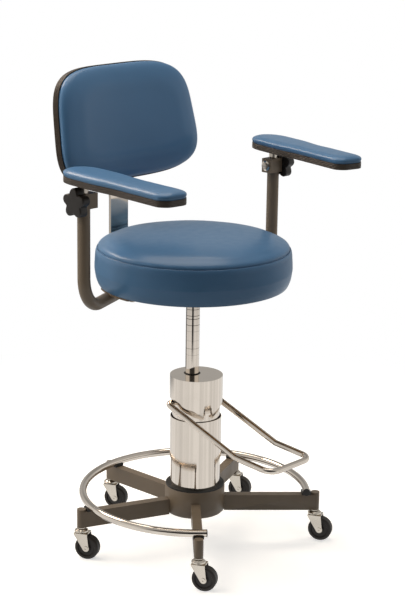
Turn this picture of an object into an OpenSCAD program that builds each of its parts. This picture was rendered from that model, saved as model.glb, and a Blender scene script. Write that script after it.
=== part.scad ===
// Operating-room stool: a foot-pumped hydraulic column on a five-leg caster base, with a foot ring,
// a round upholstered seat, a backrest on a bent flat bar and two padded armrests on bent tubes.
// Lengths are millimetres. Z is up, the floor is Z = 0 and the column's axis is X = Y = 0.
// The sitter faces -Y, so the sitter's right-hand side is -X.

/* [Base] */
// Distance from the column's axis to each caster stem
leg_length = 256.8; // [200:1:320]
// Angle between the two front legs, left open for the foot lever
gap_angle = 90; // [80:1:100]
// Width of a leg's rectangular tube
leg_width = 19; // [14:0.5:30]
// Height of a leg's rectangular tube
leg_height = 34; // [24:0.5:50]
// Wall of a leg's tube
leg_wall = 2.1; // [1.5:0.1:4]
// Height of the legs' underside
leg_bottom = 68; // [60:1:90]
// Radius of the hub that the legs are welded to
hub_radius = 63.2; // [55:0.5:80]
// Height of the hub's underside
hub_bottom = 68.2; // [60:1:90]
// Height of the hub's upper rim
hub_top = 126.4; // [110:1:150]
// Thickness of the hub's floor under the pump
hub_floor = 8; // [5:0.5:12]
// Bevel round the hub's lower edge
hub_bevel = 4; // [1:0.5:6]
// Bevel round the hub's upper edge
hub_top_bevel = 1.2; // [0.5:0.1:3]
// Radius of the welded socket at a leg's end
socket_radius = 9.2; // [8:0.1:14]
// Height of a socket's lower end
socket_bottom = 67.1; // [58:0.1:90]
// Height of a socket's upper end
socket_top = 106.6; // [95:0.1:130]
// Height of the rubber gasket between hub and column
gasket_height = 3.6; // [2:0.1:6]
// Radius of the gasket
gasket_radius = 61.6; // [54:0.1:78]

/* [Foot ring] */
// Radius of the foot ring's centre line
ring_radius = 237.3; // [180:0.1:290]
// Radius of the foot ring's tube
ring_tube = 7.94; // [6:0.01:12]
// Wall of the foot ring's tube
ring_wall = 1.6; // [1:0.1:3]
// Height of the foot ring's centre line
ring_height = 110.7; // [100:0.1:140]
// Angle from the front to each end of the ring's tube
ring_end_angle = 41.3; // [35:0.1:44]
// Thickness of the plastic cap on each end of the ring
ring_cap = 2.4; // [1:0.1:5]
// Length of a saddle along its leg
saddle_length = 20; // [12:0.5:30]
// Width of a saddle across its leg
saddle_width = 22; // [14:0.5:34]
// Height of a saddle's shoulders
saddle_height = 5.6; // [3:0.1:10]
// Radius of the screws that hold the ring down
ring_screw = 2.4; // [2:0.1:4]
// Radius of those screws' heads
ring_screw_head = 4.6; // [4:0.1:7]
// Height of those screws' heads
ring_screw_rise = 2.8; // [2:0.1:5]

/* [Casters] */
// Radius of a caster wheel
wheel_radius = 25.4; // [20:0.1:38]
// Width of a caster wheel
wheel_width = 21; // [16:0.5:28]
// Distance from a caster's stem to its axle
trail = 13.5; // [8:0.5:20]
// Direction that the casters trail in
trail_angle = -63; // [-180:1:180]
// Thickness of a fork's sheet
fork_sheet = 2; // [1.5:0.1:3]
// Gap between a wheel and each side of its fork
fork_gap = 0.8; // [0.5:0.1:2]
// Height of the underside of a fork's crown
crown_bottom = 54.4; // [45:0.1:80]
// Height of the top of a fork's swivel dome
dome_top = 65; // [58:0.1:90]
// Radius of a fork's swivel dome
dome_radius = 14.6; // [12:0.1:20]
// Radius of a caster's axle
axle_radius = 3.15; // [2.5:0.05:5]
// Radius of the riveted heads of an axle
rivet_radius = 5; // [4:0.1:8]
// Height of the riveted heads of an axle
rivet_rise = 1; // [0.5:0.1:2]
// Radius of the hole in each riveted head
rivet_hole = 2; // [1:0.1:3]
// Radius of a caster's stem
stem_radius = 5.5; // [4:0.1:7]
// Radius of a stem's riveted foot under the crown
stem_foot_radius = 7.4; // [6:0.1:9]
// Thickness of a stem's riveted foot
stem_foot = 1.6; // [1:0.1:3]
// Radius of the collar between dome and socket
collar_radius = 8.2; // [7:0.1:11]
// Radius of a wheel's hub face
wheel_hub = 8.6; // [6:0.1:14]
// Depth of the dish round a wheel's hub
wheel_dish = 2.4; // [1:0.1:5]
// Radius of a wheel's tread shoulders
wheel_shoulder = 4; // [2:0.1:8]

/* [Pump column] */
// Radius of the pump body above its base
pump_radius = 50.2; // [40:0.1:60]
// Radius of the pump's base, inside the hub and the sleeve
pump_base_radius = 52.2; // [42:0.1:62]
// Height of the top of the pump's base
pump_base_top = 196; // [150:1:240]
// Outer radius of the chromed sleeve
sleeve_radius = 53.8; // [44:0.1:64]
// Sheet of the sleeve
sleeve_sheet = 1.2; // [0.8:0.1:2]
// Gap between the sleeve's upper rim and the foot of the cap's tab
sleeve_gap = 7.7; // [3:0.1:15]
// Height of the top of the sleeve's two windows
window_top = 188.4; // [150:0.1:230]
// Width, in degrees, of each leg between the windows
window_leg_angle = 50; // [30:1:80]
// Direction of the sleeve's front leg and the cap's tab
column_turn = -110; // [-180:1:180]
// Outer radius of the cap
cap_radius = 55.3; // [46:0.1:66]
// Sheet of the cap
cap_sheet = 1.2; // [0.8:0.1:2]
// Rise of the cap's lid above the lever's pivots
cap_rise = 56.5; // [45:0.5:80]
// Drop of the foot of the cap's tab below the pivots
tab_drop = 25.1; // [18:0.1:32]
// Drop of the cap's edge beside the tab below the pivots
flank_drop = 4.7; // [1:0.1:8]
// Rise of the cap's edge above the pivots, where the lever passes under it
recess_rise = 7.9; // [7.5:0.1:14]
// Width of the notch in the tab
notch_width = 17; // [12:0.5:24]
// Rise of the notch above the tab's foot
notch_rise = 22.3; // [18:0.1:28]
// Side of the square plug behind the notch
plug_side = 12.5; // [8:0.5:16]
// Rise of the plug's axis above the tab's foot
plug_rise = 13.6; // [9:0.1:18]
// Depth that the plug's shank goes into the pump
plug_depth = 12; // [8:1:20]
// Radius of the plug's shank
plug_shank = 5; // [3:0.1:8]
// Width of the slot in the plug
plug_slot = 2.4; // [1.5:0.1:4]
// Radius of the piston rod
rod_radius = 14.3; // [10:0.1:20]
// Distance of the piston rod behind the column's axis
rod_offset = 12.3; // [0:0.1:20]
// Height of the piston rod's lower end at the photographed height
rod_bottom = 221; // [200:1:240]
// Height of the highest of the score rings turned into the rod
groove_top = 508.0; // [495:0.5:515]
// Distance between the first two score rings
groove_pitch = 13.5; // [8:0.5:20]
// Width of a score ring
groove_width = 1; // [0.5:0.1:2]
// Depth of a score ring
groove_depth = 0.4; // [0.2:0.05:1]
// Height of the bottom of the rod's bore in the pump
bore_bottom = 92; // [85:1:110]
// Outer radius of the rod's seal
seal_radius = 17.6; // [16:0.1:24]
// Height of the seal above the lid
seal_rise = 1.8; // [1:0.1:4]
// Depth of the seal's seat in the pump
seal_depth = 4; // [2:0.1:8]
// Radius of the bolt that holds the pump down
pump_bolt = 8; // [5:0.1:12]
// Depth that the pump's bolt goes into the pump
pump_bolt_depth = 9; // [6:0.5:14]
// Corner radius of that bolt's hexagonal head
pump_bolt_head = 13; // [9:0.5:18]
// Height of that bolt's head
pump_bolt_rise = 9; // [6:0.5:14]

/* [Foot lever] */
// Radius of the lever's rod
lever_rod = 6.35; // [5:0.05:9]
// Distance of each side rod from the middle
lever_half_width = 62.2; // [56:0.1:80]
// Distance of the pivot behind the column's axis
pivot_back = 22; // [10:0.1:35]
// Height of the pivot
pivot_height = 311.5; // [300:0.1:325]
// Distance of the lever's knee in front of the column's axis
knee_front = 167.7; // [140:0.1:200]
// Height of the lever's knee
knee_height = 243.4; // [220:0.1:270]
// Distance of the lever's treadle in front of the column's axis
treadle_front = 263.2; // [230:0.1:300]
// Height of the lever's treadle
treadle_height = 235.2; // [210:0.1:260]
// Radius of the bends beside the treadle
treadle_bend = 24; // [15:0.5:40]
// Radius of the bends at the knees
knee_bend = 34; // [15:0.5:60]
// Radius of the bends at the pivots
pivot_bend = 9; // [8:0.5:15]
// Distance that each pivot pin reaches inward from the side rod
pivot_length = 24; // [18:0.5:30]

/* [Seat] */
// Radius of the seat
seat_radius = 204.5; // [170:0.1:240]
// Radius of the seat at its underside
seat_base_radius = 193.7; // [160:0.1:238]
// Height of the seat's underside
seat_bottom = 562.8; // [450:0.1:650]
// Height of the seat's widest place above its underside
seat_wide = 34; // [20:0.1:60]
// Height of the seat's seam above its underside
seat_seam = 76; // [62:0.1:90]
// Radius of the seat's seam
seam_radius = 197; // [165:0.1:232]
// Rise of the crown above the seam
seat_crown = 25.2; // [10:0.1:40]
// Thickness of the seat's board
board_thick = 12; // [9:0.5:19]
// Radius of the seat's board
board_radius = 188; // [150:0.5:200]
// Thickness of the seat hub's flange
flange_thick = 5; // [4:0.1:8]
// Radius of the seat hub's flange
flange_radius = 58; // [45:0.5:70]
// Outer radius of the seat hub
seat_hub_radius = 22; // [18:0.5:30]
// Length of the seat hub below its flange
seat_hub_length = 42; // [30:1:60]
// Depth of metal above the piston rod in the seat hub
seat_hub_roof = 4; // [2:0.5:8]
// Radius of the screws in the seat's board
board_screw = 3; // [2:0.1:5]
// Corner radius of those screws' hexagonal heads
board_screw_head = 5.8; // [4.5:0.1:8]
// Height of those screws' heads
board_screw_rise = 4; // [3:0.1:6]
// Depth that those screws go into the board
board_screw_depth = 9; // [6:0.5:11]

/* [Arm tubes] */
// Distance of each arm's upright from the middle
arm_side = 279.8; // [240:0.1:330]
// Distance of each arm's upright behind the column's axis
arm_back = 42.7; // [20:0.1:70]
// Radius of an arm's tube
arm_tube = 12.7; // [10:0.1:18]
// Wall of an arm's tube
arm_wall = 2.1; // [1.5:0.1:4]
// Radius of the bend in an arm's tube
arm_bend = 66; // [50:1:100]
// Height of the level run under the seat
arm_run_height = 550; // [440:0.1:640]
// Length of the level run from upright to end, seen from above
arm_run = 168; // [150:1:190]
// Angle that the level run slopes to the rear
arm_run_angle = 20; // [5:1:30]
// Width of an arm's mounting plate, across the seat
arm_foot_width = 82; // [60:1:100]
// Length of an arm's mounting plate, front to back
arm_foot_length = 112; // [80:1:140]
// Thickness of an arm's mounting plate
arm_foot_thick = 3.2; // [2.5:0.1:8]
// Distance of the plate's outer edge from the middle
arm_foot_edge = 194.7; // [170:0.1:200]
// Distance of the plate's front edge behind the column's axis
arm_foot_front = 0.8; // [-10:0.1:20]
// Bevel of the plate's front corners
arm_foot_bevel = 8; // [3:0.5:14]
// Reach of the plate's rounded outer edge beyond the seat's underside
arm_foot_proud = 1.2; // [0:0.1:4]
// Inset of the plate's screws from its front and inner edges
arm_foot_inset = 11; // [8:0.5:18]
// Inset of the plate's outer screws from its outer edge
arm_foot_rim = 18; // [14:0.5:26]
// Distance of the plate's rear screws in front of the tube's axis
arm_screw_front = 24; // [20:0.5:32]

/* [Arm clamps] */
// Height of the clamp block's underside
block_bottom = 755; // [640:0.1:850]
// Height of the clamp block
block_height = 30; // [24:0.5:40]
// Reach of the block toward the sitter from the tube's axis
block_in = 24; // [18:0.1:32]
// Reach of the block away from the sitter
block_out = 12.2; // [11:0.1:18]
// Reach of the block to the front
block_front = 14.4; // [12:0.1:20]
// Reach of the block to the rear
block_rear = 11.6; // [11:0.1:18]
// Radius of the slotted screw's head on the block
block_screw_head = 11; // [8:0.1:13]
// Height of that screw's head
block_screw_rise = 3.2; // [2:0.1:5]
// Radius of that screw's shank
block_screw = 4; // [3:0.1:6]
// Depth of that screw's shank in the block
block_screw_depth = 11; // [8:0.1:13]
// Outer radius of a star knob
knob_radius = 30.5; // [22:0.5:38]
// Thickness of a star knob
knob_thick = 20; // [14:0.5:26]
// Radius of the lobes of a star knob
lobe_radius = 10.6; // [7:0.1:14]
// Radius of the body that joins the lobes
knob_body = 26.5; // [20:0.1:28]
// Radius of the hollows between the lobes
knob_hollow = 16; // [8:0.1:20]
// Distance from a star knob's axis to the floor of its hollows
knob_floor = 23.6; // [18:0.1:26]
// Gap between a star knob and the face that it stands on
knob_gap = 1.2; // [0.5:0.1:4]
// Radius of a star knob's threaded stud
knob_stud = 3.2; // [2.5:0.1:5]
// Height of an arm knob's axis above the block's underside
knob_height = 14.5; // [12:0.1:20]
// Distance of an arm knob's axis in front of the tube's axis
knob_front = 4.4; // [0:0.1:6]

/* [Armrests] */
// Radius of an armrest's pin
pin_radius = 9.525; // [7:0.005:12]
// Length of an armrest's pin inside the tube
pin_length = 152; // [120:1:165]
// Height of the underside of an armrest's plate
plate_bottom = 801.2; // [690:0.1:900]
// Thickness of an armrest's plate
plate_thick = 3.8; // [3:0.1:6]
// Length of an armrest's plate
plate_length = 150; // [100:1:200]
// Width of an armrest's plate
plate_width = 38; // [28:0.5:60]
// Thickness of the black board under an armrest's cushion
rest_board = 12; // [8:0.5:18]
// Length of an armrest
rest_length = 326; // [250:1:380]
// Half-width of an armrest's rear part
rest_rear_half = 39; // [30:0.5:50]
// Half-width of an armrest's front part
rest_front_half = 34; // [26:0.5:45]
// Length of an armrest's rounded rear end
rest_rear_round = 60; // [40:1:80]
// Start of the armrest's taper, from its rear end
rest_taper_start = 110; // [90:1:130]
// End of the armrest's taper, from its rear end
rest_taper_end = 190; // [150:1:230]
// Size of the bevelled front corners of an armrest
rest_bevel = 14; // [6:0.5:22]
// Distance from an armrest's rear end to its pin
rest_pin_back = 48.5; // [35:0.1:60]
// Distance of an armrest's middle line inward from its pin
rest_inward = 4.6; // [0:0.1:12]
// Height of an armrest's cushion
pad_height = 14.4; // [8:0.1:25]
// Turn of the right-hand armrest about its pin, as photographed
right_rest_turn = -6.7; // [-20:0.1:20]
// Turn of the left-hand armrest about its pin, as photographed
left_rest_turn = -13.3; // [-20:0.1:20]
// Inset of the armrest plate's screws from the plate's ends
plate_screw_inset = 12; // [8:0.5:20]
// Radius of the armrest plate's screws
plate_screw = 2.4; // [2:0.1:4]
// Radius of those screws' heads
plate_screw_head = 4.6; // [3.5:0.1:7]
// Depth of those screws' countersunk heads
plate_screw_sink = 2.2; // [1.5:0.1:3]

/* [Back bar] */
// Width of the back bar
bar_width = 50.8; // [38:0.1:65]
// Thickness of the back bar
bar_thick = 6.35; // [5:0.05:9]
// Distance of the bar's upright behind the column's axis
bar_back = 232.8; // [225:0.1:290]
// Height of the bar's level run under the seat
bar_run_height = 555.6; // [440:0.1:640]
// Distance of the bar's front end behind the column's axis
bar_front = 82; // [78:1:110]
// Radius of the bend under the seat, at the bar's middle
bar_low_bend = 22; // [15:0.5:40]
// Height of the bend behind the seat
bar_bend_height = 711; // [600:1:800]
// Lean of the bar above that bend
bar_lean = 10.7; // [5:0.1:25]
// Radius of the bend behind the seat
bar_high_bend = 40; // [20:1:80]
// Length of the bar above that bend
bar_upper = 244; // [200:1:300]
// Wall of the channel that the bar slides in
channel_wall = 3.2; // [2.5:0.1:5]
// Gap round the bar in its channel
channel_gap = 0.35; // [0.2:0.05:1]
// Length of the channel
channel_length = 104; // [80:1:120]
// Distance of the channel's front end behind the column's axis
channel_front = 84; // [76:1:100]
// Width of the channel's flanges beyond its walls
channel_flange = 17; // [12:0.5:25]
// Inset of the channel's screws from its ends
channel_inset = 12; // [9:0.5:20]
// Radius of the threaded boss under the channel
boss_radius = 10; // [8:0.5:14]
// Height of the threaded boss
boss_height = 9; // [6:0.5:14]
// Radius of the studs of the two back knobs
back_stud = 4; // [3:0.1:6]

/* [Backrest] */
// Width of the backrest
back_width = 381.5; // [300:0.5:440]
// Height of the backrest
back_height = 237.5; // [180:0.5:300]
// Distance of the backrest's middle up the bar from the bend
back_up = 157.5; // [120:0.5:200]
// Forward bow of the backrest's sides
back_bow = 20; // [5:0.5:40]
// Share of its width that the backrest loses from middle to top and gains from middle to bottom
back_taper = 0.06; // [0:0.01:0.12]
// Power of the backrest's rounded-rectangle outline
back_power = 4; // [3:0.1:6]
// Gap between the bar and the backrest's board
back_stand = 18.5; // [12:0.5:30]
// Thickness of the backrest's board
back_board_thick = 8; // [5:0.5:14]
// Thickness of the backrest's cushion at its middle
back_pad_thick = 36; // [20:0.5:60]
// Width of the ribbed edging from back to front
edging_width = 15; // [8:0.5:24]
// Thickness of the ribbed edging
edging_thick = 2.4; // [1:0.1:5]
// Wall of the bracket that slides on the bar
bracket_wall = 4; // [3:0.1:6]
// Length of the bracket
bracket_length = 96; // [60:1:130]
// Width of the bracket's flange on the board
bracket_flange = 104; // [80:1:140]
// Length of the bracket's flange on the board
bracket_flange_length = 64; // [50:1:100]
// Inset of the bracket's screws from the flange's corners
bracket_inset = 10; // [8:0.5:16]
// Height of the threaded boss behind the bracket
bracket_boss = 8; // [5:0.5:14]

/* [Fits] */
// Radial gap between a shaft and its bore
running_gap = 0.05; // [0.02:0.01:0.1]
// Gap between parts of different moving groups
clear_gap = 0.5; // [0.3:0.1:1]
// Overrun of a cut beyond the face that it opens
overrun = 1; // [0.5:0.1:2]
// Set-back that keeps a joint line open
seam_gap = 0.3; // [0.2:0.1:0.6]

/* [Hidden] */
$fn = 64;
half_turn = 180;
leg_count = 5;
leg_top = leg_bottom + leg_height;
leg_angles = [for (i = [0:leg_count - 1]) -90 + gap_angle / 2 + i * (360 - gap_angle) / (leg_count - 1)];
hub_inside = hub_bottom + hub_floor;
gasket_top = hub_top + gasket_height;
sleeve_bottom = gasket_top;
sleeve_inside = sleeve_radius - sleeve_sheet;
cap_inside = cap_radius - cap_sheet;
cap_top = pivot_height + cap_rise;
tab_bottom = pivot_height - tab_drop;
flank_height = pivot_height - flank_drop;
recess_height = pivot_height + recess_rise;
notch_top = tab_bottom + notch_rise;
plug_height = tab_bottom + plug_rise;
sleeve_top = tab_bottom - sleeve_gap;
pump_top = cap_top - cap_sheet;
stem_bore = stem_radius + running_gap;
stem_top = socket_top - socket_radius / 2;
wheel_bore = axle_radius + running_gap;
fork_inside = wheel_width / 2 + fork_gap;
fork_outside = fork_inside + fork_sheet;
crown_top = crown_bottom + fork_sheet;
hub_bore_top = seat_bottom - flange_thick - seat_hub_roof;
flange_bottom = seat_bottom - flange_thick;
seat_hub_bottom = flange_bottom - seat_hub_length;
arm_foot_bottom = seat_bottom - arm_foot_thick;
plate_top = plate_bottom + plate_thick;
rest_board_top = plate_top + rest_board;
rest_screw_depth = rest_board * 3 / 4;
pin_bottom = plate_bottom - pin_length;
pin_bore = pin_radius + running_gap;
channel_inside_half = bar_width / 2 + channel_gap;
channel_outside_half = channel_inside_half + channel_wall;
channel_floor = bar_run_height - bar_thick / 2 - channel_gap - channel_wall;
channel_half = channel_outside_half + channel_flange;
boss_bottom = channel_floor - boss_height;
board_front = bar_thick / 2 + back_stand;
pad_front = board_front + back_board_thick;
back_half = back_width / 2;
back_rise = back_height / 2;
bow_radius = (back_half * back_half + back_bow * back_bow) / (2 * back_bow);
arm_slope = atan2(pivot_height - knee_height, knee_front + pivot_back);
knee_turn = arm_slope - atan2(knee_height - treadle_height, treadle_front - knee_front);
bracket_half = bar_width / 2 + channel_gap + bracket_wall;
bracket_back = bar_thick / 2 + channel_gap + bracket_wall;
function polar(r, a) = [r * cos(a), r * sin(a)];

// A round rod of straight lengths joined by bends, starting at the origin along +Z. Each bend
// turns toward +X by its angle, after a twist about the rod.
module rod_chain(lengths, bends, turns, twists, r, i = 0) {
    cylinder(r = r, h = lengths[i]);
    if (i < len(turns)) translate([0, 0, lengths[i]]) rotate(twists[i]) {
        translate([bends[i], 0, 0]) rotate([90, 0, 180]) rotate_extrude(angle = turns[i])
            translate([bends[i], 0]) circle(r);
        translate([bends[i], 0, 0]) rotate([0, turns[i], 0]) translate([-bends[i], 0, 0])
            rod_chain(lengths, bends, turns, twists, r, i + 1);
    }
}

// A revolved ring between two radii and two heights
module ring(inner, outer, low, high)
    rotate_extrude() translate([inner, low]) square([outer - inner, high - low]);

// Base

module base_hub() color("dimgray") difference() {
    rotate_extrude() polygon([[0, hub_bottom], [hub_radius - hub_bevel, hub_bottom],
        [hub_radius, hub_bottom + hub_bevel], [hub_radius, hub_top - hub_top_bevel],
        [hub_radius - hub_top_bevel, hub_top], [0, hub_top]]);
    translate([0, 0, hub_inside])
        cylinder(r = pump_base_radius + running_gap, h = hub_top - hub_inside + overrun);
    translate([0, 0, hub_bottom - overrun])
        cylinder(r = pump_bolt + running_gap, h = hub_floor + 2 * overrun);
}

// Children at the caster end of one leg, with X pointing outward along the leg
module at_leg(i) rotate(leg_angles[i]) translate([leg_length, 0, 0]) children();

module leg(i) color("dimgray") rotate(leg_angles[i]) difference() {
    union() {
        translate([0, -leg_width / 2, leg_bottom]) cube([leg_length, leg_width, leg_height]);
        translate([leg_length, 0, socket_bottom])
            cylinder(r = socket_radius, h = socket_top - socket_bottom);
    }
    difference() {
        translate([0, leg_wall - leg_width / 2, leg_bottom + leg_wall])
            cube([leg_length, leg_width - 2 * leg_wall, leg_height - 2 * leg_wall]);
        translate([leg_length, 0, leg_bottom]) cylinder(r = socket_radius, h = leg_height);
    }
    translate([0, 0, leg_bottom - overrun])
        cylinder(r = hub_radius, h = leg_height + 2 * overrun);
    translate([leg_length, 0, socket_bottom - overrun])
        cylinder(r = stem_bore, h = stem_top - socket_bottom + overrun);
    translate([ring_radius, 0, leg_bottom - overrun])
        cylinder(r = ring_screw + running_gap, h = leg_height + 2 * overrun);
}

module leg_1() leg(0);
module leg_2() leg(1);
module leg_3() leg(2);
module leg_4() leg(3);
module leg_5() leg(4);

module hub_gasket() color("#1d1b19")
    ring(pump_base_radius + running_gap, gasket_radius, hub_top, gasket_top);

// Foot ring

// A round section swept round the ring's open circle, past both ends by a given angle
module ring_sweep(r, past = 0) translate([0, 0, ring_height])
    rotate(ring_end_angle - 90 - past)
        rotate_extrude(angle = 360 - 2 * ring_end_angle + 2 * past)
            translate([ring_radius, 0]) circle(r);

module foot_ring() color("silver") difference() {
    ring_sweep(ring_tube);
    ring_sweep(ring_tube - ring_wall, overrun);
    for (a = leg_angles) rotate(a) translate([ring_radius, 0, leg_top])
        cylinder(r = ring_screw + running_gap, h = ring_tube);
}

// Domed caps on the ring's two ends, each with a plug inside the tube
module ring_caps() color("#1d1b19") for (side = [-1, 1])
    rotate(side * ring_end_angle - 90) translate([ring_radius, 0, ring_height])
        rotate([side * 90, 0, 0]) rotate_extrude() polygon([
            [0, -ring_tube / 2], [ring_tube - ring_wall - running_gap, -ring_tube / 2],
            [ring_tube - ring_wall - running_gap, 0], [ring_tube, 0],
            [ring_tube, ring_cap / 2], [ring_tube * cos(30), ring_cap * sin(60)], [0, ring_cap]]);

module ring_saddles() color("#1d1b19") for (a = leg_angles) difference() {
    rotate(a) translate([ring_radius - saddle_length / 2, -saddle_width / 2, leg_top])
        cube([saddle_length, saddle_width, saddle_height]);
    translate([0, 0, ring_height]) rotate_extrude() translate([ring_radius, 0]) circle(ring_tube);
    rotate(a) translate([ring_radius, 0, leg_top - overrun])
        cylinder(r = ring_screw + running_gap, h = saddle_height);
}

module ring_screws() color("silver") for (a = leg_angles)
    rotate(a) translate([ring_radius, 0, leg_bottom]) {
        cylinder(r = ring_screw, h = ring_height - leg_bottom - ring_tube + 2 * ring_wall);
        mirror([0, 0, 1]) rotate_extrude() polygon([[0, 0], [ring_screw_head, 0],
            [ring_screw_head, ring_screw_rise / 2], [ring_screw, ring_screw_rise],
            [0, ring_screw_rise]]);
    }

// Casters

module caster_stems() color("silver") for (i = [0:leg_count - 1]) at_leg(i) rotate_extrude()
    polygon([[0, crown_bottom - stem_foot], [stem_foot_radius, crown_bottom - stem_foot],
        [stem_foot_radius, crown_bottom - running_gap], [stem_radius, crown_bottom - running_gap],
        [stem_radius, dome_top + clear_gap], [collar_radius, dome_top + clear_gap],
        [collar_radius, socket_bottom], [stem_radius, socket_bottom],
        [stem_radius, stem_top - running_gap], [0, stem_top - running_gap]]);

// Children in a caster's own frame: X along the trail, Z up through the stem
module at_caster(i) translate(concat(polar(leg_length, leg_angles[i]), 0))
    rotate(trail_angle) children();

// Outline of one side of a fork: wide at the crown, round at the axle
module fork_side_outline() {
    lean = atan2(crown_bottom - wheel_radius, dome_radius);
    translate([trail, wheel_radius]) circle(rivet_radius + fork_sheet);
    polygon([[-dome_radius * cos(30), crown_bottom], [dome_radius + fork_sheet, crown_bottom],
        [trail + (rivet_radius + fork_sheet) * sin(lean), wheel_radius],
        [trail - (rivet_radius + fork_sheet) * sin(lean),
            wheel_radius - (rivet_radius + fork_sheet) * cos(lean)]]);
}

module caster_fork(i) color("silver") at_caster(i) {
    difference() {
        union() {
            for (side = [-1, 1]) translate([0, side * (fork_inside + fork_sheet / 2), 0])
                rotate([90, 0, 0])
                    linear_extrude(height = fork_sheet, center = true) fork_side_outline();
            translate([-dome_radius * cos(30), -fork_outside, crown_bottom])
                cube([dome_radius * (1 + cos(30)) + fork_sheet, 2 * fork_outside, fork_sheet]);
            rotate_extrude() polygon([[0, crown_bottom], [dome_radius * cos(30), crown_bottom],
                [dome_radius * cos(30), crown_top], [dome_radius, crown_top + fork_sheet],
                [dome_radius * cos(15), dome_top - 2 * fork_sheet],
                [dome_radius * cos(45), dome_top - fork_sheet / 2],
                [dome_radius * cos(60), dome_top], [0, dome_top]]);
        }
        translate([0, 0, crown_bottom - overrun])
            cylinder(r = stem_bore, h = dome_top - crown_bottom + 2 * overrun);
    }
    translate([trail, 0, wheel_radius]) rotate([90, 0, 0]) difference() {
        union() {
            cylinder(r = axle_radius, h = 2 * fork_outside, center = true);
            for (side = [-1, 1]) translate([0, 0, side * (fork_outside + rivet_rise / 2)])
                cylinder(r = rivet_radius, h = rivet_rise, center = true);
        }
        for (side = [-1, 1]) translate([0, 0, side * (fork_outside + rivet_rise)])
            cylinder(r = rivet_hole, h = 2 * (rivet_rise + fork_sheet), center = true);
    }
}

module caster_fork_1() caster_fork(0);
module caster_fork_2() caster_fork(1);
module caster_fork_3() caster_fork(2);
module caster_fork_4() caster_fork(3);
module caster_fork_5() caster_fork(4);

// One half of a wheel's section as a list: bore, hub face, dished web, rim and rounded tread
function wheel_half_points() = let (half = wheel_width / 2, rim = wheel_radius - 2 * wheel_shoulder)
    concat([[wheel_bore, half], [wheel_hub, half], [wheel_hub + wheel_dish / 2, half - wheel_dish],
        [rim, half - wheel_dish], [rim + wheel_dish / 2, half]],
        [for (a = [90:-15:0]) [wheel_radius - wheel_shoulder + wheel_shoulder * cos(a),
            half - wheel_shoulder + wheel_shoulder * sin(a)]]);

module caster_wheel(i) color("#262320") at_caster(i) translate([trail, 0, wheel_radius])
    rotate([90, 0, 0]) rotate_extrude() polygon(concat(wheel_half_points(),
        [for (k = [len(wheel_half_points()) - 1:-1:0])
            [wheel_half_points()[k].x, -wheel_half_points()[k].y]]));

module caster_wheel_1() caster_wheel(0);
module caster_wheel_2() caster_wheel(1);
module caster_wheel_3() caster_wheel(2);
module caster_wheel_4() caster_wheel(3);
module caster_wheel_5() caster_wheel(4);

// Pump column

module pump_bolt() color("silver") {
    translate([0, 0, hub_bottom]) cylinder(r = pump_bolt, h = hub_floor + pump_bolt_depth);
    translate([0, 0, hub_bottom - pump_bolt_rise])
        cylinder(r = pump_bolt_head, h = pump_bolt_rise, $fn = 6);
}

module pump_body() color("silver") difference() {
    rotate_extrude() polygon([[0, hub_inside], [pump_base_radius, hub_inside],
        [pump_base_radius, pump_base_top], [pump_radius, pump_base_top + sleeve_sheet],
        [pump_radius, pump_top], [0, pump_top]]);
    translate([0, rod_offset, bore_bottom])
        cylinder(r = rod_radius + running_gap, h = pump_top - bore_bottom + overrun);
    translate([0, rod_offset, pump_top - seal_depth])
        cylinder(r = seal_radius + running_gap, h = seal_depth + overrun);
    translate([0, 0, hub_inside - overrun])
        cylinder(r = pump_bolt + running_gap, h = pump_bolt_depth + 2 * overrun);
    for (side = [-1, 1]) translate([side * pump_radius, pivot_back, pivot_height])
        rotate([0, -side * 90, 0])
            cylinder(r = lever_rod + running_gap, h = pivot_length - pivot_bend + overrun);
    rotate(column_turn) translate([pump_radius - plug_depth, 0, plug_height])
        rotate([0, 90, 0]) cylinder(r = plug_shank + running_gap, h = plug_depth + overrun);
}

// Chromed sleeve with two windows cut up from its lower rim
module column_cover() color("silver") difference() {
    ring(sleeve_inside, sleeve_radius, sleeve_bottom, sleeve_top);
    for (turn = [0, 180]) rotate(column_turn + turn + window_leg_angle / 2)
        rotate_extrude(angle = 180 - window_leg_angle)
            translate([sleeve_inside - overrun, sleeve_bottom - overrun])
                square([sleeve_sheet + 2 * overrun, window_top - sleeve_bottom + overrun]);
}

// Lower edge of the cap seen square to its tab: half-widths as shares of the cap's radius,
// heights as shares from the tab's foot (0) to the flank (1) and on to the recess (2)
edge_shares = [[0, 0], [0.225, 0], [0.30, 0.26], [0.375, 0.50], [0.44, 0.68], [0.50, 0.80],
    [0.57, 0.90], [0.65, 0.97], [0.74, 1.04], [0.80, 1.16], [0.85, 1.40], [0.89, 1.72],
    [0.93, 1.93], [0.98, 2], [1.1, 2]];
function edge_height(s) = s < 1 ? tab_bottom + s * (flank_height - tab_bottom)
    : flank_height + (s - 1) * (recess_height - flank_height);

module cap_edge_outline() {
    right = [for (e = edge_shares) [e[0] * cap_radius, edge_height(e[1])]];
    polygon(concat([[-right[len(right) - 1].x, tab_bottom - overrun],
        [right[len(right) - 1].x, tab_bottom - overrun]],
        [for (i = [len(right) - 1:-1:1]) right[i]],
        [for (i = [1:len(right) - 1]) [-right[i].x, right[i].y]]));
}

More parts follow.
